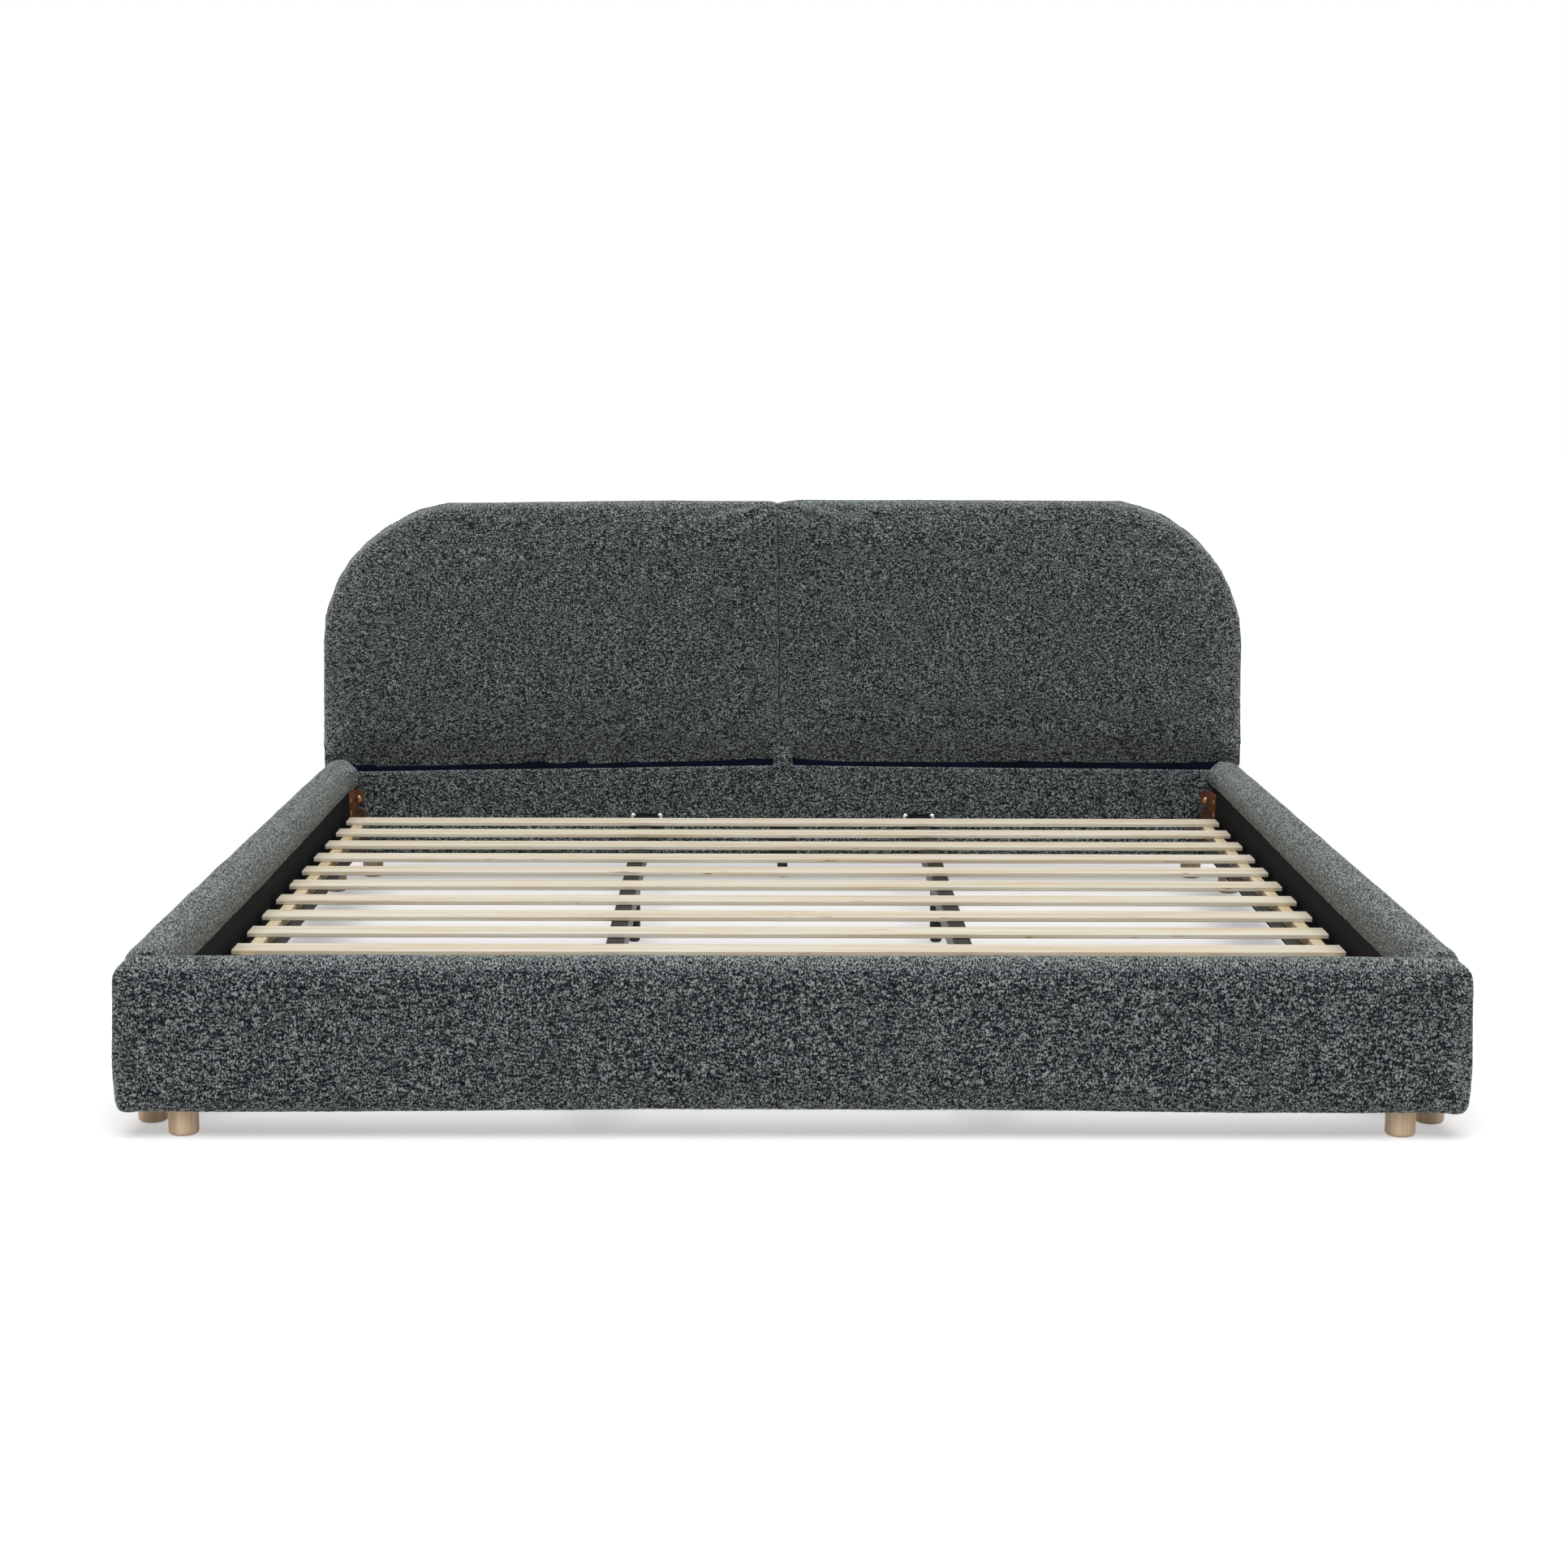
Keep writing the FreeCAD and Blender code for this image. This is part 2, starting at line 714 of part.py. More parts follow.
def beams():
    body = extruded("beam", "XZ_Plane",
                    rectangle("-beam_width / 2", "0", "beam_width / 2", "beam_depth"),
                    "beam_length", reverse=True)
    bore = rectangle("-beam_width / 2 + beam_wall", "beam_wall",
                     "beam_width / 2 - beam_wall", "beam_depth - beam_wall")
    pierce(body, outline(body, "beam_bore", "XZ_Plane", bore))
    place(body, "beam_offset", "beam_front_y", "beam_bottom")
    node(body, "right_beam")
    mirrored(body, "left_beam")


def hangers():
    low, high = "-hanger_plate_below", "beam_depth + hanger_plate_above"
    body = extruded("hanger", "XZ_Plane",
                    rectangle("-hanger_plate_width / 2", low, "hanger_plate_width / 2", high),
                    "hanger_thickness")
    inner = "beam_width / 2 + hanger_clearance"
    outer = f"{inner} + hanger_thickness"
    cradle = [
        (f"-({outer})", "-hanger_thickness"),
        (outer, "-hanger_thickness"),
        (outer, "hanger_wall_height"),
        (inner, "hanger_wall_height"),
        (inner, "0"),
        (f"-({inner})", "0"),
        (f"-({inner})", "hanger_wall_height"),
        (f"-({outer})", "hanger_wall_height"),
    ]
    pad(body, outline(body, "cradle", "XZ_Plane", cradle), "hanger_reach")
    hole_z = f"{high} - hanger_screw_drop"
    centres = [("-hanger_screw_spacing / 2", hole_z), ("hanger_screw_spacing / 2", hole_z)]
    hole = "screw_diameter + 2 * hole_clearance"
    pierce(body, circles(body, "hanger_holes", "XZ_Plane", centres, hole))
    half_turn = Rotation(Vector(0, 0, 1), 180)
    spots = [
        ("beam_offset", "recess_back_y", "beam_bottom"),
        ("beam_offset", "footboard_lining_y", "beam_bottom", half_turn),
    ]
    copies("beam_hangers", body, mirrored_spots(spots))


def legs():
    radius, wall = "leg_diameter / 2", "leg_wall"
    stem_hole = "stem_diameter / 2 + stem_clearance"
    tube = revolved("leg", rectangle(f"{radius} - {wall}", "leg_bottom", radius, "beam_bottom"))
    plug_radius = f"{radius} - {wall} - plug_clearance"
    plug = revolved("plug", [
        (stem_hole, "0"),
        (radius, "0"),
        (radius, "plug_flange"),
        (plug_radius, "plug_flange"),
        (plug_radius, "plug_flange + plug_depth"),
        (stem_hole, "plug_flange + plug_depth"),
    ])
    spots = []
    for side, x in (("right", "beam_offset"), ("left", "-beam_offset")):
        for end, sign in (("front", "-"), ("back", "+")):
            y = f"recess_middle_y {sign} leg_from_middle"
            spots.append((x, y))
            glide = revolved(f"{side}_{end}_glide_form", [
                ("0", "0"),
                ("glide_diameter / 2 - glide_chamfer", "0"),
                ("glide_diameter / 2", "glide_chamfer"),
                ("glide_diameter / 2", "glide_height"),
                ("stem_diameter / 2", "glide_height"),
                ("stem_diameter / 2", "glide_height + stem_length"),
                ("0", "glide_height + stem_length"),
            ])
            node(place(glide, x, y), f"{side}_{end}_glide")
    copies("beam_legs", tube, spots)
    copies("leg_plugs", plug, [(x, y, "leg_bottom - plug_flange") for x, y in spots])


# Corner brackets with an open hook notch, and the fixings

def corner_bracket(name, reach, toward):
    """An angle bracket; toward is the sign of Y in which its rail flange runs."""
    arm = f"{toward}({reach})"
    thick = f"{toward}bracket_thickness"
    tip = "-bracket_thickness - bracket_flange"
    plan = [
        ("0", "0"),
        ("0", arm),
        ("-bracket_thickness", arm),
        ("-bracket_thickness", thick),
        (tip, thick),
        (tip, "0"),
    ]
    if toward == "-":
        plan.reverse()
    body = extruded(name, "XY_Plane", plan, "bracket_height")
    thickness = value("bracket_thickness")

    def flange_corner(edge):
        flat = runs_along(edge, Vector(1, 0, 0)) or runs_along(edge, Vector(0, 1, 0))
        return flat and abs(edge.Length - thickness) < SAME

    soften(body, "bracket_round", flange_corner)
    notch_top = "bracket_height - notch_drop"
    notch = [
        (f"{tip} - overrun", f"{notch_top} - notch_height"),
        (f"{tip} + notch_depth - notch_height / 2", f"{notch_top} - notch_height"),
        (f"{tip} + notch_depth", f"{notch_top} - notch_height / 2"),
        (f"{tip} + notch_depth - notch_height / 2", notch_top),
        (f"{tip} - overrun", notch_top),
    ]
    half = "notch_height / 2"
    pierce(body, outline(body, f"{name}_notch", "XZ_Plane", notch, {1: half, 2: half}))
    hole = "bolt_diameter + 2 * hole_clearance"
    across = "-bracket_thickness - bracket_flange / 2"
    on_board = [(across, f"bracket_height - {drop}") for drop in ("bolt_drop", "low_bolt_drop")]
    pierce(body, circles(body, f"{name}_board_holes", "XZ_Plane", on_board, hole))
    along = f"{toward}({reach} - bracket_rail_flange / 2)"
    on_rail = [(along, f"bracket_height - {drop}") for drop in ("bolt_drop", "rail_bolt_drop")]
    pierce(body, circles(body, f"{name}_rail_holes", "YZ_Plane", on_rail, hole))
    return body


def dome_head(name, diameter, head_diameter, head_height, shank):
    """A domed head on Z with its shank below."""
    corners = [
        ("0", f"-({shank})"),
        (f"{diameter} / 2", f"-({shank})"),
        (f"{diameter} / 2", "0"),
        (f"{head_diameter} / 2", "0"),
        ("0", head_height),
    ]
    dome = f"(({head_diameter} / 2)^2 + {head_height}^2) / (2 * {head_height})"
    return revolved(name, corners, {3: dome})


def brackets():
    bottom = "bracket_top - bracket_height"
    head = corner_bracket("head_bracket", "bracket_rail_flange", "-")
    node(place(head, "lining_x", "recess_back_y", bottom), "head_right_bracket")
    mirrored(head, "head_left_bracket")
    reach = "bracket_rail_flange + roll_overhang"
    foot = corner_bracket("foot_bracket", reach, "+")
    node(place(foot, "lining_x", "footboard_lining_y", bottom), "foot_right_bracket")
    mirrored(foot, "foot_left_bracket")


def fixings():
    bolt = dome_head("bolt", "bolt_diameter", "bolt_head_diameter", "bolt_head_height",
                     "bracket_thickness")
    to_foot = Rotation(Vector(1, 0, 0), 90)
    to_head = Rotation(Vector(1, 0, 0), -90)
    to_left = Rotation(Vector(0, 1, 0), -90)
    to_right = Rotation(Vector(0, 1, 0), 90)
    board_x = "lining_x - bracket_thickness - bracket_flange / 2"
    rail_x = "lining_x - bracket_thickness"
    head_y = "recess_back_y - bracket_thickness"
    foot_y = "footboard_lining_y + bracket_thickness"
    head_rail_y = "recess_back_y - bracket_rail_flange / 2"
    foot_rail_y = "recess_front_y + bracket_rail_flange / 2"
    on_boards, on_right, on_left = [], [], []
    for y, turn in ((head_y, to_foot), (foot_y, to_head)):
        for drop in ("bolt_drop", "low_bolt_drop"):
            on_boards.append((board_x, y, f"bracket_top - {drop}", turn))
    for y in (head_rail_y, foot_rail_y):
        for drop in ("bolt_drop", "rail_bolt_drop"):
            on_right.append((rail_x, y, f"bracket_top - {drop}", to_left))
            on_left.append((f"-({rail_x})", y, f"bracket_top - {drop}", to_right))
    copies("bracket_bolts", bolt, mirrored_spots(on_boards) + on_right + on_left)

    screw = dome_head("hanger_screw", "screw_diameter", "screw_head_diameter",
                      "screw_head_height", "hanger_thickness")
    spots = []
    for side in ("-", "+"):
        x = f"beam_offset {side} hanger_screw_spacing / 2"
        z = "hanger_top - hanger_screw_drop"
        spots.append((x, "recess_back_y - hanger_thickness", z, to_foot))
        spots.append((x, "footboard_lining_y + hanger_thickness", z, to_head))
    copies("hanger_screws", screw, mirrored_spots(spots))

    head_corners = [
        ("0", "0"),
        ("screw_head_diameter / 2", "0"),
        ("0", "screw_head_height"),
    ]
    dome = "((screw_head_diameter / 2)^2 + screw_head_height^2) / (2 * screw_head_height)"
    head = revolved("ledger_screw_head", head_corners, {1: dome})
    right, left = [], []
    for index in range(LEDGER_SCREW_COUNT):
        run_share = index / (LEDGER_SCREW_COUNT - 1)
        y = f"ledger_front_y + ledger_screw_inset + {run_share} * ledger_screw_run"
        z = "ledger_top - ledger_screw_drop"
        x = "lining_x - ledger_thickness"
        right.append((x, y, z, to_left))
        left.append((f"-({x})", y, z, to_right))
    copies("ledger_screws", head, right + left)


def check_and_write():
    """Stops if anything failed, then writes each sub-part to its own file."""
    doc.recompute()
    for item in doc.Objects:
        if "Invalid" in item.State or "Error" in item.State:
            raise RuntimeError(f"{item.Label} failed: {item.State}")
    for item in nodes:
        if item.Shape.isNull() or not item.Shape.isValid() or not item.Shape.Solids:
            raise RuntimeError(f"{item.Label} has no valid solid")
    os.makedirs("parts", exist_ok=True)
    for item in nodes:
        item.Shape.exportStep(f"parts/{item.Label}.step")
    print(len(nodes), "sub-parts written")


side_rails()
footboard()
headboard_pad()
headboard_cover()
headboard_frame()
headboard_trim()
feet()
slats()
beams()
hangers()
legs()
brackets()
fixings()
check_and_write()
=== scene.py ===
import math

import bpy
import numpy as np
from bpy.props import FloatProperty, FloatVectorProperty, PointerProperty
from mathutils import Matrix, Vector, noise


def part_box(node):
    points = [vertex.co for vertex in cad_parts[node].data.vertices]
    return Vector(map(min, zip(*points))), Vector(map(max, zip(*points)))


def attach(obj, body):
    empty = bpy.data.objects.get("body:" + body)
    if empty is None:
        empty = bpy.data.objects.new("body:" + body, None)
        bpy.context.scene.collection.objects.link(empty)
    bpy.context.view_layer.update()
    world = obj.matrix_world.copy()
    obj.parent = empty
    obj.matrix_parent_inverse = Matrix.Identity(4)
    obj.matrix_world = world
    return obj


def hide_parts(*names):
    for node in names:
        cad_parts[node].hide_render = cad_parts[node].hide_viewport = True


bl_info = {
    "name": "Upholstered platform bed",
    "version": (1, 0, 0),
    "blender": (4, 5, 0),
    "location": "View3D > Sidebar > Bed",
    "description": "Dresses a platform bed in looped wool, slats, steel and beech",
    "category": "Object",
}

# The bed stands with X across it, Y from footboard to headboard and Z up, in metres.
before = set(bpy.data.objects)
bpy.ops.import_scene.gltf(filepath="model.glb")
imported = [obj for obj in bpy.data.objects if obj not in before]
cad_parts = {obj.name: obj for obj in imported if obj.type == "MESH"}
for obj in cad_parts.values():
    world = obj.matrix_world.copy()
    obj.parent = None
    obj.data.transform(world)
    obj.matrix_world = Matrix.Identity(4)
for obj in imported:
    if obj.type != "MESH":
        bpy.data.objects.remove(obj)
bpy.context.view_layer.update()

MM = 0.001
BODY = "frame"

# Cloth swelling
PRESSURE = 4.0
SWELL_FRAMES = 20

# Mesh spacing, fine enough for soft edges and loose yarn
PAD_VOXEL = 8 * MM
FOOTBOARD_VOXEL = 8 * MM
PROFILE_STEP = 9.5 * MM
SECTION_STEP = 12 * MM
LOWER_STEP = 11 * MM
ARC_POINTS = 5

# Curls lift the surface point by point; shallow hollows come from uneven padding
CURL_LUMP = 3.1 * MM
HOLLOW = 1.0 * MM
HOLLOW_LUMP = 130 * MM

# How far a filled-out face may stand past its place
FILL_OVER = 0.5 * MM

# Edges sharper than this are worn round, once the faces beside them are joined
WORN_ANGLE = math.radians(40)
WELD_GAP = 0.01 * MM

# Clearance of padding from the boards inside it
BOARD_CLEAR = 0.3 * MM
LINING_CLEAR = 0.4 * MM
LINING_THICK = 0.8 * MM

# Lengths that count as nothing
TOUCHING = 0.001 * MM
TINY = 1e-9

FLOOR_HALF = 30.0
SENSOR = 36


def linear(shade):
    """An sRGB hex colour as linear red, green and blue."""
    parts = [int(shade[i:i + 2], 16) / 255 for i in (1, 3, 5)]
    return [p / 12.92 if p <= 0.04045 else ((p + 0.055) / 1.055) ** 2.4 for p in parts]


def colour(name, shade, description):
    """A colour property with its sRGB default."""
    return FloatVectorProperty(name=name, description=description, subtype="COLOR", size=3,
                               min=0.0, max=1.0, default=linear(shade))


def amount(name, size, description, **more):
    return FloatProperty(name=name, description=description, default=size, **more)


def length(name, size, description):
    """A length property in metres."""
    return amount(name, size, description, subtype="DISTANCE", unit="LENGTH", min=0.0, precision=4)


def angle(name, turn, description):
    """An angle property in radians."""
    return amount(name, turn, description, subtype="ANGLE")


class BedUpholstery(bpy.types.PropertyGroup):
    """Sizes and colours of the padded, cloth-covered pieces."""

    loop_size: length("Loop size", 2.15 * MM, "Width of a curl of yarn")
    # the curls' tips are painted lighter as a highlight, and their flanks darker as painted shade over
    # the yarn's own grey
    curl_tip_highlight: colour("Light yarn", "#9da5a3", "Tips of the curls")
    yarn_grey_and_flank_shade: colour("Middle yarn", "#6c7476", "Flanks of the curls")
    # near-black painted shade for the gaps between the curls, where light does not reach
    painted_gap_shade: colour("Ground", "#090d12", "Dark ground between the curls")
    nap: length("Nap", 0.8 * MM, "How far loose yarn lifts the surface")
    pad_swell: length("Pad swell", 5.0 * MM, "How far the headboard pads swell")
    cover_swell: length("Cover swell", 3.0 * MM, "How far the rail and footboard covers swell")
    lining: colour("Lining", "#141517", "Black lining cloth inside the rails")
    tape: colour("Tape", "#080b17", "Navy fastening tape")


class BedTimber(bpy.types.PropertyGroup):
    """Colours of the wooden pieces."""

    slat_pale: colour("Pale veneer", "#ded8c8", "Face of the slats")
    slat_grain: colour("Veneer grain", "#c8b696", "Grain lines of the slats")
    slat_mark: colour("Veneer mark", "#8c6b47", "Small brown marks and knots")
    beech: colour("Beech", "#e6cbab", "Turned feet")
    beech_fleck: colour("Beech fleck", "#c7a987", "Flecks and grain of the feet")
    pine: colour("Pine", "#ddcfb2", "Battens and boards")
    pine_grain: colour("Pine grain", "#c4a67a", "Late wood of the battens and boards")


class BedMetal(bpy.types.PropertyGroup):
    """Colours of the metal and plastic pieces."""

    powder: colour("Powder coat", "#0d0e10", "Black beams, legs and ledgers")
    zinc_gold: colour("Zinc gold", "#9e8263", "Olive gold of the passivated brackets")
    zinc_rose: colour("Zinc rose", "#97665b", "Reddish bloom on the brackets")
    steel: colour("Bright steel", "#c8c7c3", "Plated screws")
    plastic: colour("Black plastic", "#131416", "Plugs, glides and the centre foot")


class BedStage(bpy.types.PropertyGroup):
    """Camera, floor and light."""

    eye: FloatVectorProperty(name="Eye", description="Where the camera stands", subtype="XYZ",
                             unit="LENGTH", size=3, default=(-0.0535, -5.211, 1.192))
    yaw: angle("Yaw", 0.0090, "Turn to the right of straight ahead")
    pitch: angle("Pitch", 0.1536, "Tilt below the horizon")
    roll: angle("Roll", -0.0036, "Turn about the line of sight")
    lens: amount("Lens", 63.137, "Focal length on a 36 mm sensor", unit="CAMERA")
    ambient: amount("Ambient", 0.4, "Light from all round")
    key: amount("Key", 0.82, "Light that the key throws on a level white card")
    key_spread: angle("Key spread", math.radians(50), "Width of the soft key in the sky")
    key_lean: angle("Key lean", math.radians(20), "How far the key stands in front of the bed")
    floor_glow: amount("Floor glow", 0.38, "White that the camera sees on the floor",
                       min=0.0, max=1.0)
    floor: colour("Floor", "#d4d4d4", "Plain pale floor")


# Meshes

def vectors(items, attribute):
    """One vector of every item, as an array."""
    flat = np.empty(len(items) * 3, np.float32)
    items.foreach_get(attribute, flat)
    return flat.reshape(-1, 3).astype(float)


def points_of(piece):
    return vectors(piece.data.vertices, "co")


def normals_of(piece):
    return vectors(piece.data.vertex_normals, "vector")


def set_points(piece, points):
    piece.data.vertices.foreach_set("co", points.astype(np.float32).ravel())
    piece.data.update()


def new_piece(name, mesh):
    """Links a new object that holds the mesh."""
    piece = bpy.data.objects.new(name, mesh)
    bpy.context.scene.collection.objects.link(piece)
    return piece


def built(name, points, faces):
    """A new object made of points and faces."""
    mesh = bpy.data.meshes.new(name)
    mesh.from_pydata([tuple(p) for p in points], [], [tuple(f) for f in faces])
    mesh.validate()
    return new_piece(name, mesh)


def add_modifier(piece, name, kind, **settings):
    modifier = piece.modifiers.new(name, kind)
    for setting, value in settings.items():
        setattr(modifier, setting, value)


def reshape(piece, kind, **settings):
    """Makes what one modifier does part of the piece's mesh."""
    add_modifier(piece, "reshaping", kind, **settings)
    bpy.context.view_layer.update()
    graph = bpy.context.evaluated_depsgraph_get()
    mesh = bpy.data.meshes.new_from_object(piece.evaluated_get(graph))
    old = piece.data
    piece.modifiers.clear()
    piece.data = mesh
    bpy.data.meshes.remove(old)


def even_faces(piece, size):
    """Gives the piece even, square faces."""
    reshape(piece, "REMESH", mode="VOXEL", voxel_size=size)


def subdivide(piece):
    """Halves the faces and rounds them."""
    reshape(piece, "SUBSURF", levels=1, render_levels=1)


def smooth_faces(piece):
    piece.data.polygons.foreach_set("use_smooth", [True] * len(piece.data.polygons))
    piece.data.update()


def lumps(points, size, seed):
    """Smooth noise from -1 to 1 at each point, with lumps of the given size."""
    shift = Vector((seed * 7.1, seed * 3.7, seed * 5.3))
    return np.array([noise.noise(Vector(p) / size + shift) for p in points])


def ease(value, start, end):
    """0 at start, 1 at end, smooth between them."""
    share = np.clip((value - start) / (end - start), 0, 1)
    return share * share * (3 - 2 * share)


def rounded_path(corners, step):
    """An open line through corners, each (across, up, radius), with sides divided by step."""
    spots = [np.array(c[:2], float) for c in corners]
    runs = []
    for i, (spot, (_, _, radius)) in enumerate(zip(spots, corners)):
        if radius == 0 or i in (0, len(corners) - 1):
            runs.append([spot])
            continue
        back = spots[i - 1] - spot
        ahead = spots[i + 1] - spot
        back /= np.linalg.norm(back)
        ahead /= np.linalg.norm(ahead)
        half = math.acos(np.clip(back @ ahead, -1, 1)) / 2
        middle = back + ahead
        centre = spot + middle / np.linalg.norm(middle) * radius / math.sin(half)
        start = spot + back * radius / math.tan(half) - centre
        end = spot + ahead * radius / math.tan(half) - centre
        turn = math.pi - 2 * half
        arc = []
        for share in np.linspace(0, 1, ARC_POINTS):
            near, far = math.sin((1 - share) * turn), math.sin(share * turn)
            arc.append(centre + (near * start + far * end) / math.sin(turn))
        runs.append(arc)
    line = []
    for run, following in zip(runs, runs[1:]):
        line.extend(run)
        gap = following[0] - run[-1]
        count = max(1, round(np.linalg.norm(gap) / step))
        line.extend(run[-1] + gap * k / count for k in range(1, count))
    line.extend(runs[-1])
    return np.array(line)


def resampled(line, count):
    """The line as evenly spaced points."""
    line = np.array(line, float)
    travel = np.concatenate([[0], np.cumsum(np.linalg.norm(np.diff(line, axis=0), axis=1))])
    wanted = np.linspace(0, travel[-1], count)
    return np.stack([np.interp(wanted, travel, line[:, k]) for k in range(line.shape[1])], axis=1)


def lofted(rings):
    """Points and faces of a closed form through rings; each end is zipped shut from side to side."""
    sections, count = rings.shape[:2]
    faces = []
    for i in range(sections - 1):
        for j in range(count):
            k = (j + 1) % count
            faces.append((i * count + j, i * count + k, (i + 1) * count + k, (i + 1) * count + j))
    last = (sections - 1) * count
    for j in range(count // 2 - 1):
        near = (j, count - 1 - j, count - 2 - j, j + 1)
        faces.append(near)
        faces.append(tuple(last + n for n in reversed(near)))
    return rings.reshape(-1, 3), faces


def outward(piece):
    """Turns the faces so that the form's volume is positive."""
    mesh = piece.data
    mesh.calc_loop_triangles()
    corners = np.array([t.vertices[:] for t in mesh.loop_triangles])
    a, b, c = (points_of(piece)[corners[:, k]] for k in range(3))
    if (a * np.cross(b, c)).sum() < 0:
        mesh.flip_normals()


def swell(piece, held, cap):
    """Swells a padded piece as cloth under pressure; held points stay and none passes the cap."""
    scene = bpy.context.scene
    rest = points_of(piece)
    group = piece.vertex_groups.new(name="held")
    group.add(np.flatnonzero(held).tolist(), 1.0, "REPLACE")
    cloth = piece.modifiers.new("swell", "CLOTH")
    cloth.settings.vertex_group_mass = group.name
    cloth.settings.use_pressure = True
    cloth.settings.uniform_pressure_force = PRESSURE
    cloth.settings.effector_weights.gravity = 0
    cloth.point_cache.frame_end = SWELL_FRAMES
    for step in range(1, SWELL_FRAMES + 1):
        scene.frame_set(step)
    graph = bpy.context.evaluated_depsgraph_get()
    shown = piece.evaluated_get(graph).data
    travel = vectors(shown.vertices, "co") - rest
    piece.modifiers.clear()
    piece.vertex_groups.clear()
    scene.frame_set(1)
    far = np.maximum(np.linalg.norm(travel, axis=1, keepdims=True), TINY)
    set_points(piece, rest + travel / far * cap * np.tanh(far / cap))


def draw_in(piece, free, depth):
    """Makes the form smaller by depth where it is free, to leave room for the swell."""
    set_points(piece, points_of(piece) - normals_of(piece) * (free * depth)[:, None])


# Which percentile of a face is brought to its place: the middle of a flat face, the crest of a
# crowned one, counted over points that look squarely that way
FLAT = 50
CROWNED = 98
SQUARELY = 0.9


def fill_out(piece, free, faces):
    """Pushes the free surface out to each (axis, side, place, percentile)."""
    points = points_of(piece)
    normals = normals_of(piece)
    for axis, side, place, percentile in faces:
        facing = np.clip(side * normals[:, axis], 0, 1) * free
        reached = np.percentile(side * points[facing > SQUARELY, axis], percentile)
        points[:, axis] += side * facing * (side * place - reached)
        points[:, axis] = side * np.minimum(side * points[:, axis], side * place + FILL_OVER)
    set_points(piece, points)


def raise_nap(piece, free, seed):
    """Lifts the surface unevenly, as loose yarn and soft foam do."""
    nap = bpy.context.scene.bed_upholstery.nap
    points = points_of(piece)
    lift = nap * lumps(points, CURL_LUMP, seed) + HOLLOW * lumps(points, HOLLOW_LUMP, seed + 1)
    set_points(piece, points + normals_of(piece) * (free * lift)[:, None])


def upholstered(piece, nodes):
    """Finishes a padded piece: smooth faces, looped wool, and the body that it rides."""
    smooth_faces(piece)
    piece.data.materials.clear()
    piece.data.materials.append(wool_boucle())
    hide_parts(*nodes)
    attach(piece, BODY)


def flat_cloth(piece, nodes, material, thickness, offset=0.0):
    """Finishes a stretched sheet of cloth, thickened evenly or, with an offset, to one side."""
    add_modifier(piece, "thickness", "SOLIDIFY", thickness=thickness, offset=offset)
    smooth_faces(piece)
    piece.data.materials.append(material)
    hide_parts(*nodes)
    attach(piece, BODY)


def grid_faces(rows, columns):
    """Faces of a grid of points, row by row."""
    faces = []
    for i in range(rows - 1):
        for j in range(columns - 1):
            start = i * columns + j
            faces.append((start, start + 1, start + columns + 1, start + columns))
    return faces


def dressed(nodes, material, edge=0.0):
    """Gives solid nodes their finish and, where edge is set, a small worn edge."""
    for name in nodes:
        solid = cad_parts[name]
        solid.data.materials.clear()
        solid.data.materials.append(material)
        if edge:
            add_modifier(solid, "joined_faces", "WELD", merge_threshold=WELD_GAP)
            add_modifier(solid, "worn_edge", "BEVEL", width=edge, segments=2,
                         limit_method="ANGLE", angle_limit=WORN_ANGLE)


# Finishes

def add_node(tree, kind, inputs=None, **settings):
    """Adds a node; inputs maps a socket to a value, or to the output that feeds it."""
    item = tree.nodes.new(kind)
    for name, value in settings.items():
        setattr(item, name, value)
    for socket, value in (inputs or {}).items():
        if isinstance(value, bpy.types.NodeSocket):
            tree.links.new(value, item.inputs[socket])
        else:
            item.inputs[socket].default_value = value
    return item


def opaque(shade):
    return (*shade, 1.0)


def new_finish(name, **values):
    """A material with its shader, whose even values are set on the shader's own sockets."""
    material = bpy.data.materials.new(name)
    material.use_nodes = True
    tree = material.node_tree
    shader = tree.nodes["Principled BSDF"]
    for socket, value in values.items():
        shader.inputs[socket.replace("_", " ")].default_value = value
    return material, tree, shader


def spread(tree, place, scale):
    """Coordinates scaled along each axis."""
    return add_node(tree, "ShaderNodeMapping", {"Vector": place, "Scale": scale}).outputs[0]


def speckle(tree, place, scale=1.0, detail=0.0, **more):
    """Noise from 0 to 1."""
    inputs = {"Vector": place, "Scale": scale, "Detail": detail, **more}
    return add_node(tree, "ShaderNodeTexNoise", inputs).outputs[0]


def ranged(tree, value, start, end, low=0.0, high=1.0, smooth=False):
    """The value between start and end, spread from low to high."""
    return add_node(tree, "ShaderNodeMapRange", {
        "Value": value, "From Min": start, "From Max": end, "To Min": low, "To Max": high},
        interpolation_type="SMOOTHSTEP" if smooth else "LINEAR").outputs[0]


def times(tree, first, second, clamp=False):
    return add_node(tree, "ShaderNodeMath", {0: first, 1: second}, operation="MULTIPLY",
                    use_clamp=clamp).outputs[0]


def between(tree, share, first, second):
    """A number between two others."""
    return add_node(tree, "ShaderNodeMix", {0: share, 2: first, 3: second}).outputs[0]


def blended(tree, share, shade, other):
    """A colour between two others."""
    return add_node(tree, "ShaderNodeMix", {0: share, 6: shade, 7: other}, data_type="RGBA").outputs[2]


def bumped(tree, height, strength, distance):
    """Normals of a surface that stands up with the height."""
    return add_node(tree, "ShaderNodeBump", {
        "Height": height, "Strength": strength, "Distance": distance}).outputs[0]


def feed(tree, shader, **outputs):
    """Links outputs to the shader's sockets."""
    for socket, output in outputs.items():
        tree.links.new(output, shader.inputs[socket.replace("_", " ")])


def object_place(tree):
    return add_node(tree, "ShaderNodeTexCoord").outputs["Object"]


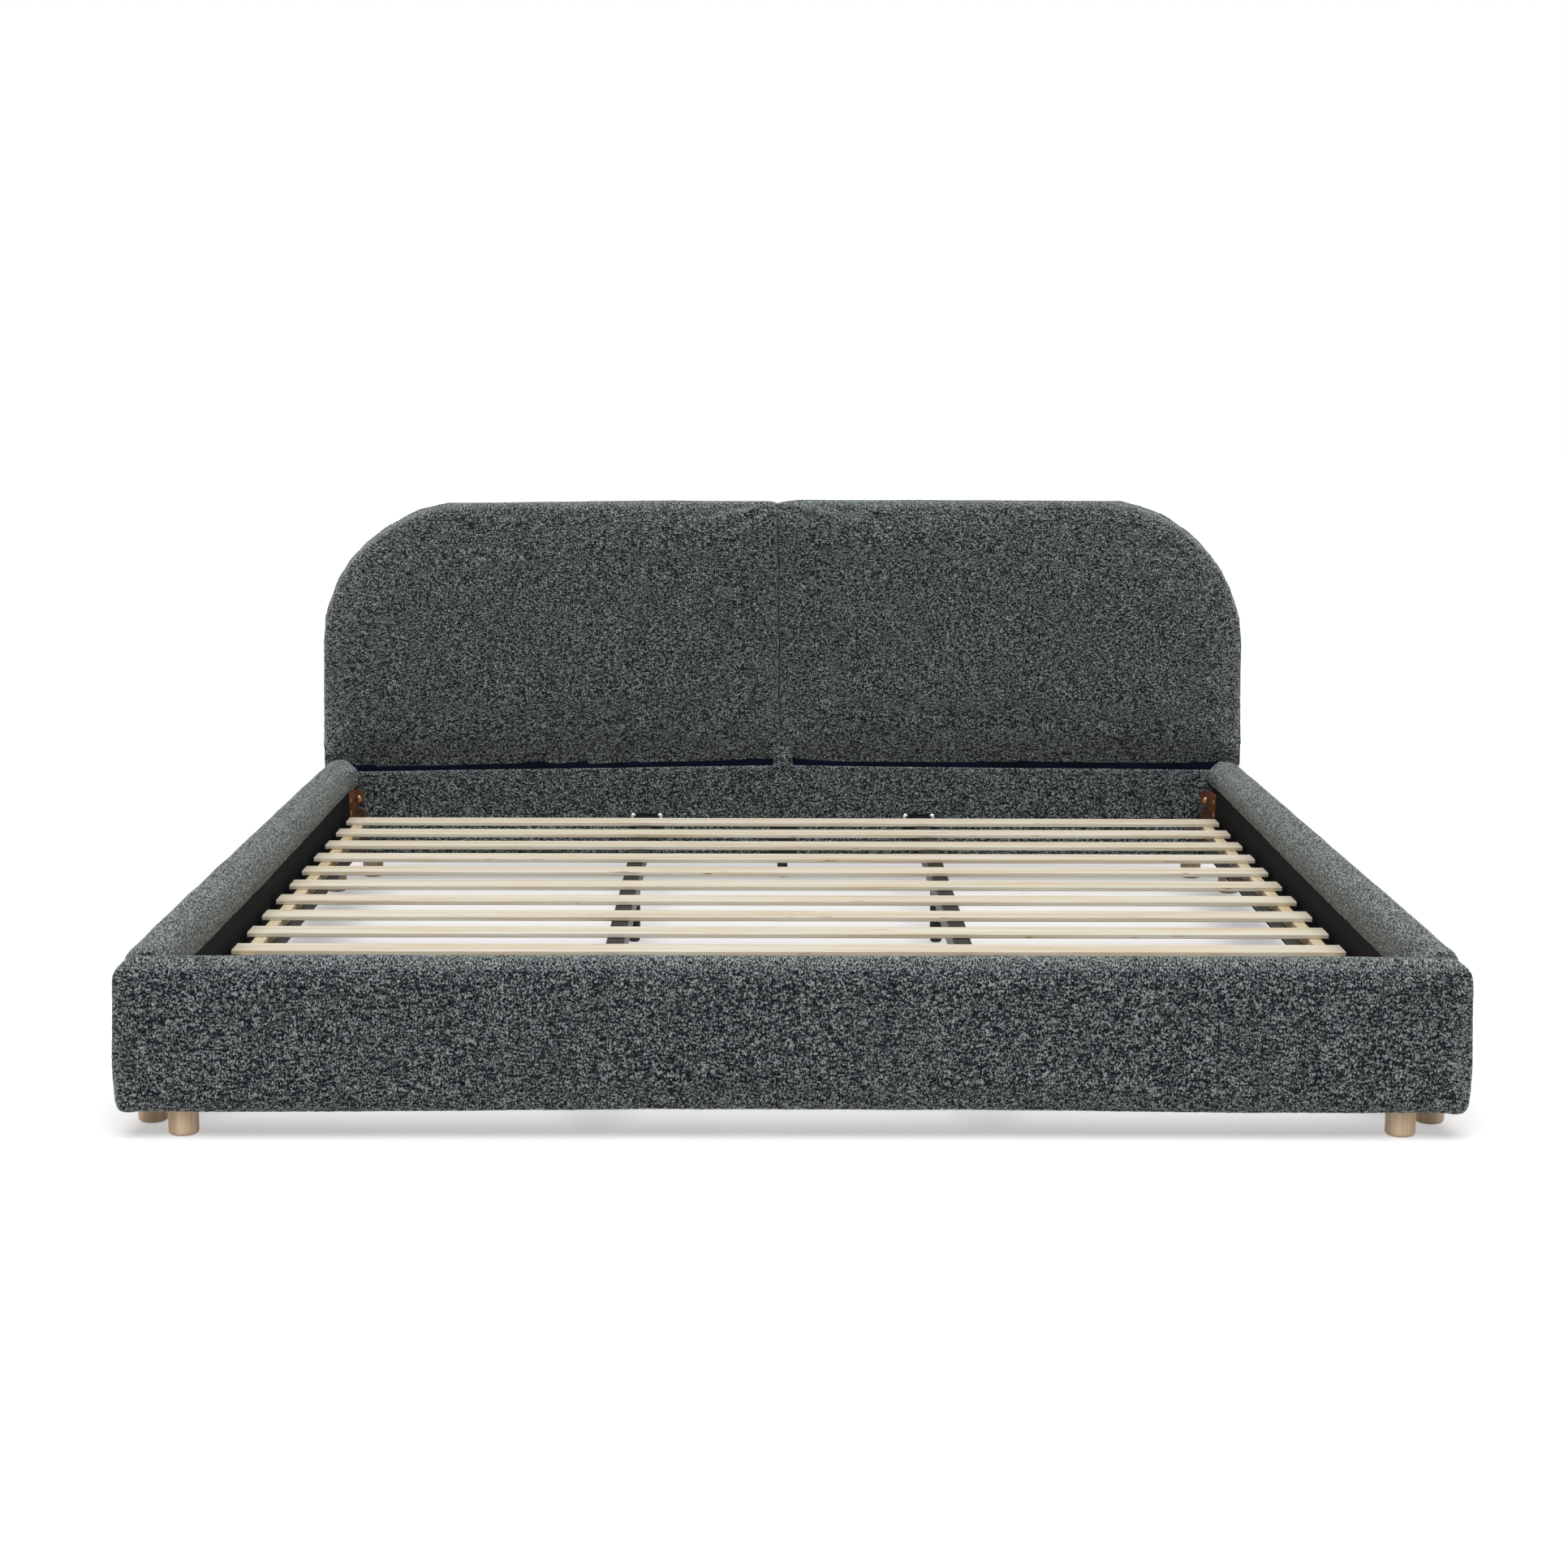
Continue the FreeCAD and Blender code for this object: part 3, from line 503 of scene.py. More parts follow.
def wool_boucle():
    """Looped wool-blend cloth: pale curls with painted highlights on their tips stand over near-black
    painted shade in the gaps, soft at a low angle.
    """
    known = bpy.data.materials.get("wool_boucle")
    if known:
        return known
    cloth = bpy.context.scene.bed_upholstery
    material, tree, shader = new_finish(
        "wool_boucle", Roughness=0.95, Sheen_Roughness=0.4,
        Sheen_Tint=opaque(linear("#d5dbd6")), Specular_IOR_Level=0.1)
    place = object_place(tree)
    per_loop = 1 / cloth.loop_size
    # curls are taller than they are wide, and longest along the bed
    upright = spread(tree, place, (per_loop, 0.5 * per_loop, 0.66 * per_loop))
    curls = speckle(tree, upright, Distortion=0.25)
    # on the rolled tops they are combed further along the bed
    combed = spread(tree, place, (1.15 * per_loop, 0.25 * per_loop, 0.8 * per_loop))
    laid = speckle(tree, combed, Distortion=0.25)
    facing = add_node(tree, "ShaderNodeSeparateXYZ", {
        0: add_node(tree, "ShaderNodeNewGeometry").outputs["Normal"]})
    level = ranged(tree, facing.outputs[2], 0.5, 0.62, smooth=True)
    pile = between(tree, level, curls, laid)
    curl = ranged(tree, pile, 0.3, 0.62, smooth=True)
    tip_highlight = ranged(tree, pile, 0.5, 0.75, smooth=True)
    # painted highlight on the tips of the curls, painted shade on their flanks
    yarn = blended(tree, tip_highlight, opaque(cloth.yarn_grey_and_flank_shade), opaque(cloth.curl_tip_highlight))
    # short dashes where a row of curls parts and the painted shade between them shows, wider than they
    # are tall, but not on the tops
    rows = spread(tree, place, (1 / (8 * MM), 1 / (14 * MM), 1 / (3.2 * MM)))
    dashes = speckle(tree, rows, detail=1.0, Distortion=0.4)
    parted = ranged(tree, dashes, 0.36, 0.54, 0.1, 1.05, smooth=True)
    stand = times(tree, curl, between(tree, level, parted, 0.95))
    # the yarn is a little unevenly spun
    clouds = speckle(tree, place, 1 / (16 * MM), detail=1.0)
    cloudy = ranged(tree, clouds, 0.3, 0.7, 0.78, 1.15, smooth=True)
    show = times(tree, stand, cloudy, clamp=True)
    # only the standing curls are fuzzy, and the painted shade between them stays dark
    fuzz = ranged(tree, show, 0.05, 0.6, 0.4, 1.0)
    # the base colour carries painted shade in the gaps and painted highlights on the curls' tips
    feed(tree, shader,
         Base_Color=blended(tree, show, opaque(cloth.painted_gap_shade), yarn),
         Sheen_Weight=fuzz,
         Normal=bumped(tree, stand, 0.7, 2.5 * MM))
    return material


def woven(name, shade, lift, thread, values):
    """A dull cloth of fine threads: one shade, lifted thread by thread and patch by patch."""
    known = bpy.data.materials.get(name)
    if known:
        return known
    material, tree, shader = new_finish(name, **values)
    place = object_place(tree)
    threads = speckle(tree, place, 1 / thread, detail=3.0, Roughness=0.7)
    patches = speckle(tree, place, 1 / (90 * MM), detail=2.0)
    lit = ranged(tree, times(tree, threads, patches), 0.12, 0.4)
    feed(tree, shader,
         Base_Color=blended(tree, lit, opaque(shade), opaque(lift)),
         Normal=bumped(tree, threads, 0.25, 0.4 * MM))
    return material


def black_lining():
    """Spun-bonded lining: flat black with a dry, faintly speckled face. Threads drawn at 2 mm."""
    shade = bpy.context.scene.bed_upholstery.lining
    return woven("spunbond_lining", shade, linear("#1f2022"), 2 * MM,
                 {"Roughness": 0.95, "Specular_IOR_Level": 0.15})


def navy_tape():
    """Napped fastening tape: a deep navy that hardly reflects. Nap drawn at 1.5 mm."""
    shade = bpy.context.scene.bed_upholstery.tape
    return woven("napped_tape", shade, linear("#10162c"), 1.5 * MM,
                 {"Roughness": 1.0, "Specular_IOR_Level": 0.05, "Sheen_Weight": 0.1})


def wood(name, shades, grain_size, along, values, marks=None):
    """Sawn or turned wood: broad tone, fine lines along the grain and, if given, dark marks."""
    known = bpy.data.materials.get(name)
    if known:
        return known
    pale, dark = shades
    material, tree, shader = new_finish(name, **values)
    place = object_place(tree)

    def stretched(across, long):
        """Noise coordinates drawn out along the grain."""
        scale = [1 / across] * 3
        scale[along] = 1 / long
        return spread(tree, place, scale)

    tone = speckle(tree, stretched(12 * grain_size, 320 * grain_size), detail=3.0, Distortion=0.4)
    lines = speckle(tree, stretched(grain_size, 90 * grain_size), detail=4.0, Roughness=0.65)
    depth = ranged(tree, times(tree, tone, lines), 0.17, 0.38)
    shown = blended(tree, depth, opaque(pale), opaque(dark))
    if marks:
        shade, across, long = marks
        spots = speckle(tree, stretched(across, long), detail=2.0, Distortion=0.5)
        shown = blended(tree, ranged(tree, spots, 0.68, 0.77), shown, opaque(shade))
    feed(tree, shader, Base_Color=shown, Normal=bumped(tree, lines, 0.12, 0.5 * MM))
    return material


def slat_veneer():
    """Laminated poplar slats, sanded and bare: creamy, fine grained, with odd brown marks."""
    timber = bpy.context.scene.bed_timber
    return wood("poplar_veneer", (timber.slat_pale, timber.slat_grain), 1.6 * MM, 0,
                {"Roughness": 0.6, "Specular_IOR_Level": 0.3},
                (timber.slat_mark, 5 * MM, 60 * MM))


def turned_beech():
    """Turned beech, clear oiled: warm pinkish tan with short darker flecks."""
    timber = bpy.context.scene.bed_timber
    return wood("turned_beech", (timber.beech, timber.beech_fleck), 0.9 * MM, 2,
                {"Roughness": 0.5, "Specular_IOR_Level": 0.35},
                (timber.beech_fleck, 1.4 * MM, 9 * MM))


def sawn_pine(along):
    """Sawn pine: yellow-pale with browner late wood along its length."""
    timber = bpy.context.scene.bed_timber
    return wood(f"sawn_pine_{'xyz'[along]}", (timber.pine, timber.pine_grain), 3 * MM, along,
                {"Roughness": 0.65, "Specular_IOR_Level": 0.3},
                (timber.pine_grain, 9 * MM, 40 * MM))


def plywood_darkened_as_shade():
    """The panel's plywood, coloured near-black as painted shade where it shows at its edge and through
    gaps: dark, with faint plies.
    """
    return wood("plywood_darkened_as_shade", (linear("#17181a"), linear("#101113")), 3 * MM, 0,
                {"Roughness": 0.8, "Specular_IOR_Level": 0.2})


def coated(name, shade, bloom, grit, values, patch=40 * MM):
    """A coated or moulded surface: one shade that shifts in patches, with a fine grit."""
    known = bpy.data.materials.get(name)
    if known:
        return known
    material, tree, shader = new_finish(name, **values)
    place = object_place(tree)
    patches = speckle(tree, place, 1 / patch, detail=3.0, Distortion=0.8)
    share = ranged(tree, patches, 0.35, 0.65)
    specks = speckle(tree, place, 1 / grit, detail=2.0)
    dull = values["Roughness"]
    feed(tree, shader,
         Base_Color=blended(tree, share, opaque(shade), opaque(bloom)),
         Roughness=ranged(tree, specks, 0.3, 0.7, 0.85 * dull, 1.15 * dull),
         Normal=bumped(tree, specks, 0.15, 0.2 * MM))
    return material


def powder_coat():
    """Black powder coat on steel tube and sheet: satin, with a fine orange peel drawn at 1.5 mm."""
    shade = bpy.context.scene.bed_metal.powder
    return coated("black_powder_coat", shade, linear("#131416"), 1.5 * MM,
                  {"Roughness": 0.4, "Specular_IOR_Level": 0.3})


def yellow_zinc():
    """Yellow-passivated zinc plate: brownish gold that blooms to rose, with a soft, uneven shine."""
    metal = bpy.context.scene.bed_metal
    return coated("passivated_zinc", metal.zinc_gold, metal.zinc_rose, 2 * MM,
                  {"Roughness": 0.32, "Metallic": 1.0}, patch=14 * MM)


def bright_steel():
    """Bright zinc-plated screws: pale grey metal with a soft shine."""
    shade = bpy.context.scene.bed_metal.steel
    return coated("bright_zinc", shade, linear("#b4b4b1"), 1.5 * MM,
                  {"Roughness": 0.28, "Metallic": 1.0}, patch=8 * MM)


def black_plastic():
    """Moulded black polypropylene: dull satin with a fine moulded grain drawn at 1 mm."""
    shade = bpy.context.scene.bed_metal.plastic
    return coated("moulded_polypropylene", shade, linear("#1a1b1d"), 1.0 * MM, {"Roughness": 0.5})


# Pieces

SIGN = {"left": -1, "right": 1}

# How far the slot's two edges have settled at the left end, the middle and the right end
SLOT_PLACES = (-1.05, 0.0, 1.05)
PAD_FALL = (14.5 * MM, 13.5 * MM, -3 * MM)
WRAP_FALL = (9.5 * MM, 8 * MM, 1 * MM)
# Each pad's lower corner falls further, behind the rail's end
CORNER_FALL = 10 * MM
CORNER_SPAN = (0.99, 1.04)
CORNER_DEPTH = 5 * MM

# What the swell leaves alone: the seam's face, the lower edge, the lower outer corner
SEAM_FACE = 6 * MM
EDGE_HELD = 6 * MM
CORNER_HELD_ACROSS = 36 * MM
CORNER_HELD_UP = 20 * MM
PAD_CAP = 1.4
RIM_SOFTENING = 8
EDGE_PULL = 24 * MM
EDGE_STRIP = 16 * MM

SEAM_GAP = 0.1 * MM
SEAM_SNAP = 3 * MM
SEAM_DEPTH = 8 * MM
SEAM_FRONT = 20 * MM
SEAM_OPEN = 1.3 * MM
SEAM_OPENING = (6 * MM, 40 * MM)
SEAM_CLOSING = 20 * MM
# How far the seam stands left of the middle at the slot and at the top
SEAM_HEIGHTS = (0.30, 0.86)
SEAM_LEAN = (7 * MM, 13.5 * MM)
LEAN_REACH = 0.5
SEAM_WAVE = 0.8 * MM
SEAM_WAVES = (31 * MM, 13 * MM)
# The left pad turns into the seam sharply and its shoulder has settled; the right one slopes in
SEAM_REACH = {"left": 6 * MM, "right": 26 * MM}
NOTCH_REACH = {"left": 18 * MM, "right": 58 * MM}
NOTCH_DEPTH = {"left": 5 * MM, "right": 7 * MM}
NOTCH_CURVE = 1.7
SETTLED = {"left": 5.5 * MM, "right": 2.5 * MM}
SETTLED_HEIGHTS = (0.55, 0.84)
SHOULDER_DROOP = {"left": 6 * MM, "right": 0.0}
SHOULDER_START = (0.25, 0.78)
SHOULDER_END = (0.90, 1.03)
PAD_SEED = {"left": 3, "right": 11}


def headboard_pad(side):
    """One crowned pad: its solid made even, swollen, drawn in at the seam and given its nap."""
    cloth = bpy.context.scene.bed_upholstery
    node = f"headboard_{side}_pad"
    sign = SIGN[side]
    pad = new_piece(f"{side}_headboard_pad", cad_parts[node].data.copy())
    even_faces(pad, PAD_VOXEL)
    low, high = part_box(node)
    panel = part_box("headboard_panel")
    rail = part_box("headboard_middle_rail")
    rail_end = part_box("right_rail_cover")[1].y
    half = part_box("headboard_right_pad")[1].x
    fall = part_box("headboard_centre_tab")[1].z - low.z

    def bottom_line(points):
        """The pad's lower edge, which falls from the centre to the sides."""
        return low.z + fall * (1 - np.abs(points[:, 0]) / half)

    def settled_line(points):
        """Where that edge lies now: lower, and lowest at the outer corner, behind the rail's end."""
        x, y, _ = points.T
        fallen = bottom_line(points) - np.interp(x, SLOT_PLACES, PAD_FALL)
        behind = ease(y, rail_end, rail_end + CORNER_DEPTH)
        return fallen - CORNER_FALL * behind * ease(np.abs(x), *CORNER_SPAN)

    def held_points(points):
        """Points that lie against the panel or the rail."""
        _, y, z = points.T
        on_panel = y > panel[0].y - PAD_VOXEL / 2
        return on_panel | (y > rail[0].y - PAD_VOXEL / 2) & (z < rail[1].z + PAD_VOXEL)

    hard = points_of(pad)
    across = np.abs(hard[:, 0])
    height = hard[:, 2]
    held = held_points(hard) | (across < SEAM_FACE) | (height < bottom_line(hard) + EDGE_HELD)
    held |= (height < rail[1].z + CORNER_HELD_UP) & (across > rail[1].x - CORNER_HELD_ACROSS)
    # hard edges are rounded off
    reshape(pad, "SMOOTH", factor=0.5, iterations=RIM_SOFTENING)
    set_points(pad, np.where(held[:, None], hard, points_of(pad)))
    draw_in(pad, ~held, cloth.pad_swell)
    swell(pad, held, PAD_CAP * cloth.pad_swell)
    subdivide(pad)
    outer = high.x if sign > 0 else low.x
    free = 1.0 - held_points(points_of(pad))
    fill_out(pad, free, [(0, sign, outer, FLAT), (1, -1, low.y, CROWNED), (2, 1, high.z, FLAT)])

    # the lower edge is pulled down tight over the slot, evened out, and settles
    points = points_of(pad)
    x, y, z = points.T
    bottom = bottom_line(points)
    lowest = 1 - ease(z - bottom, 0, EDGE_PULL)
    z += lowest * np.clip(-normals_of(pad)[:, 2], 0, 1) * (bottom - z)
    ahead = y < rail[0].y
    strips = np.round(np.abs(x) / EDGE_STRIP).astype(int)
    present = np.unique(strips[ahead])
    edge = [z[ahead & (strips == k)].min() for k in present]
    stepped = np.interp(np.abs(x), EDGE_STRIP * present, edge)
    z += (1 - ease(z - bottom, 0, 2 * EDGE_PULL)) * (bottom - stepped) * ahead
    z += (1 - ease(z - bottom, 0, 5 * EDGE_PULL)) * (settled_line(points) - bottom)

    # the cloth dips into the seam, in front and over the top
    across = np.abs(x)
    in_front = ease(y, panel[0].y, low.y + SEAM_FRONT)
    y += SEAM_DEPTH * np.exp(-(across / SEAM_REACH[side]) ** 2) * in_front
    near_seam = np.clip(1 - across / NOTCH_REACH[side], 0, 1) ** NOTCH_CURVE
    shoulder = ease(across, *SHOULDER_START) * (1 - ease(across, *SHOULDER_END))
    drop = SETTLED[side] + NOTCH_DEPTH[side] * near_seam + SHOULDER_DROOP[side] * shoulder
    z -= drop * ease(z, *SETTLED_HEIGHTS)
    # the seam opens as a groove above the web, which closes it below
    groove = SEAM_OPEN * ease(z, *(rail[1].z + rise for rise in SEAM_OPENING))
    groove *= 1 - ease(y, rail[0].y, rail[0].y + SEAM_CLOSING)
    x[:] = sign * np.where(across < SEAM_SNAP, SEAM_GAP + groove, across)
    set_points(pad, points)
    raise_nap(pad, free, PAD_SEED[side])
    points = points_of(pad)
    x, _, z = points.T
    x[:] = sign * np.maximum(sign * x, SEAM_GAP)
    wave = sum(np.sin(z / size) for size in SEAM_WAVES)
    lean = np.interp(z, SEAM_HEIGHTS, SEAM_LEAN) + SEAM_WAVE * wave
    x -= lean * (1 - ease(np.abs(x), 0, LEAN_REACH))
    set_points(pad, points)
    upholstered(pad, [node])


LOWER_ROUND = 8 * MM
LOWER_SWELL = 1.5 * MM
# The cloth turns over the wrap's top and bottom edges, but not beside the web
LOWER_TUCK = 3 * MM
TOP_TUCK = (0.94, 1.0)
BOTTOM_TUCK = (0.04, 0.0)
WEB_SIDE = 60 * MM
# Round the right end the wrap closes up to the pad
SIDE_RISE = 6 * MM
SIDE_TURN = (15 * MM, 35 * MM)
LOWER_SEED = 17


def lower_cover():
    """The thin padded wrap over the headboard's lower part, turned back round its two ends."""
    low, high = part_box("headboard_lower_cover")
    panel_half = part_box("headboard_panel")[1].x + BOARD_CLEAR
    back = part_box("headboard_lower_rail")[0].y - BOARD_CLEAR
    front = low.y + LOWER_SWELL
    half = high.x - LOWER_SWELL
    outer = rounded_path([
        (half, high.y, 0), (half, front, LOWER_ROUND), (-half, front, LOWER_ROUND), (-half, high.y, 0),
    ], SECTION_STEP)
    inner = resampled([
        (panel_half, high.y), (panel_half, back), (-panel_half, back), (-panel_half, high.y),
    ], len(outer))
    ring = np.concatenate([outer, inner[::-1]])
    is_outer = np.arange(len(ring)) < len(outer)
    x, y = ring.T
    fall = (high.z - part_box("headboard_tapes")[0].z) * (np.abs(x) / high.x)
    top = high.z - fall - np.interp(x, SLOT_PLACES, WRAP_FALL)
    top += SIDE_RISE * ease(y, *(front + turn for turn in SIDE_TURN)) * (x > panel_half - MM)
    beside_web = ease(np.abs(x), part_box("headboard_centre_tab")[1].x, WEB_SIDE)
    shares = np.linspace(0, 1, round((high.z - low.z) / LOWER_STEP))
    rings = []
    for share in shares:
        tuck = LOWER_TUCK * (ease(share, *TOP_TUCK) * beside_web + ease(share, *BOTTOM_TUCK))
        tucked = np.minimum(np.where(is_outer, y + tuck, y), high.y)
        rings.append(np.stack([x, tucked, low.z + share * (top - low.z)], axis=1))
    cover = built("headboard_lower_wrap", *lofted(np.array(rings)))
    outward(cover)
    held = np.tile(~is_outer | (np.abs(y - high.y) < TOUCHING), (len(shares), 1))
    held[[0, -1]] = True
    swell(cover, held.ravel(), LOWER_SWELL)
    subdivide(cover)
    x, y, _ = points_of(cover).T
    free = (y < back - 2 * MM) | (np.abs(x) > panel_half + 4 * MM)
    raise_nap(cover, free, LOWER_SEED)
    upholstered(cover, ["headboard_lower_cover"])


WEB_RINGS = 13
WEB_POINTS = 16
WEB_STEP = 4 * MM
WEB_ROUND = 5 * MM
WEB_FLARE = 5 * MM
WEB_INSET = 2.8 * MM
WEB_LEAN = 3 * MM
# How far it reaches behind the wrap and above the rail
WEB_BELOW = 12 * MM
WEB_ABOVE = 2 * MM
WEB_SEED = 23


def centre_tab():
    """The short web of cloth between the pads and the lower wrap, flared where it joins them."""
    low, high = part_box("headboard_centre_tab")
    bottom = low.z - WRAP_FALL[1] - WEB_BELOW
    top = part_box("headboard_middle_rail")[1].z + WEB_ABOVE
    rings = []
    for share in np.linspace(0, 1, WEB_RINGS):
        half = (high.x - low.x) / 2 + WEB_FLARE * abs(2 * share - 1) ** 3
        front = low.y + WEB_INSET + WEB_LEAN * ease(share, 0.6, 1.0)
        front_line = rounded_path([
            (half, high.y, 0), (half, front, WEB_ROUND), (-half, front, WEB_ROUND), (-half, high.y, 0),
        ], WEB_STEP)
        back_line = resampled([(-half, high.y), (half, high.y)], WEB_POINTS + 2)[1:-1]
        ring = np.concatenate([resampled(front_line, WEB_POINTS), back_line])
        rings.append(np.column_stack([ring, np.full(len(ring), bottom + share * (top - bottom))]))
    web = built("headboard_centre_web", *lofted(np.array(rings)))
    outward(web)
    subdivide(web)
    raise_nap(web, points_of(web)[:, 1] < high.y - 4 * MM, WEB_SEED)
    upholstered(web, ["headboard_centre_tab"])


TAPE_COLUMNS = 90
TAPE_ROWS = 7
TAPE_THICK = 1.2 * MM
TAPE_RIPPLE = 0.5 * MM
TAPE_TUCK = 2 * MM


def fastening_tapes():
    """Two strips of tape that lie in the slot under the pads and half its height behind its edges."""
    low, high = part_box("headboard_tapes")
    tab_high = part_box("headboard_centre_tab")[1]
    cover_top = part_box("headboard_lower_cover")[1].z
    tall = tab_high.z - cover_top
    inner = tab_high.x - TAPE_TUCK
    points = []
    for sign in (-1, 1):
        for share in np.linspace(-0.5, 1.5, TAPE_ROWS):
            for x in np.linspace(inner, high.x, TAPE_COLUMNS):
                z = cover_top - (cover_top - low.z) * x / high.x + share * tall
                z -= np.interp(sign * x, SLOT_PLACES, WRAP_FALL)
                y = (low.y + high.y) / 2 + TAPE_RIPPLE * noise.noise(Vector((x * 9, share, sign)))
                points.append((sign * x, y, z))
    one = grid_faces(TAPE_ROWS, TAPE_COLUMNS)
    other = [tuple(TAPE_ROWS * TAPE_COLUMNS + n for n in face) for face in one]
    tapes = built("fastening_tapes", points, one + other)
    flat_cloth(tapes, ["headboard_tapes"], navy_tape(),
               TAPE_THICK, offset=-1.0)


# The straight half of the panel's top, before it turns down
BACK_FLAT = 0.71
BACK_RIPPLE = 0.5 * MM
BACK_ROWS = 34


def back_lining():
    """The lining stretched over the headboard's back, with the panel's arched outline."""
    low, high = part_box("headboard_back_lining")
    radius = high.x - BACK_FLAT
    turned = BACK_FLAT + radius * np.sin(np.linspace(0, math.pi / 2, 14))
    right = np.concatenate([np.linspace(0, BACK_FLAT, 24)[:-1], turned])
    xs = np.concatenate([-right[:0:-1], right])
    over = np.clip((np.abs(xs) - BACK_FLAT) / radius, 0, 1)
    tops = high.z - radius * (1 - np.sqrt(1 - over**2))
    points = []
    for share in np.linspace(0, 1, BACK_ROWS):
        for x, top in zip(xs, tops):
            z = low.z + share * (top - low.z)
            ripple = BACK_RIPPLE * noise.noise(Vector((x * 6, z * 6, 0.5)))
            points.append((x, (low.y + high.y) / 2 + ripple, z))
    lining = built("back_lining_cloth", points, grid_faces(BACK_ROWS, len(xs)))
    flat_cloth(lining, ["headboard_back_lining"], black_lining(),
               LINING_THICK)


COVER_CAP = 1.5
BOTTOM_ROUND = 18 * MM
TOP_ROUND = 30 * MM
ROLL_ROUND = 26 * MM
FLAP_ROUND = 10 * MM
FLAP_TURN = 22 * MM
# The rolled edge waves up and down and to the side, over its last points
FLAP_POINTS = 7
FLAP_WAVE = 1.0 * MM
FLAP_SWAY = 1.5 * MM
FLAP_WAVES = (85 * MM, 38 * MM)
FLAP_SEED = {"left": 2.0, "right": 9.0}
# How far the rolled edge hangs below its solid at the foot end, the middle and the head end
FLAP_PLACES = (-1.04, -0.1, 1.01)
FLAP_FALL = {"left": (14 * MM, 20 * MM, 14 * MM), "right": (23 * MM, 16 * MM, 0.0)}
SWELL_UNEVEN = 0.2
END_TUCK = 0.06
HEAD_BULGE = 9 * MM
HEAD_REACH = 90 * MM
RAIL_INSET = {"left": 5 * MM, "right": 3.5 * MM}
RAIL_ASKEW = {"left": 0.0, "right": 4 * MM}
RAIL_SEED = {"left": 29, "right": 31}


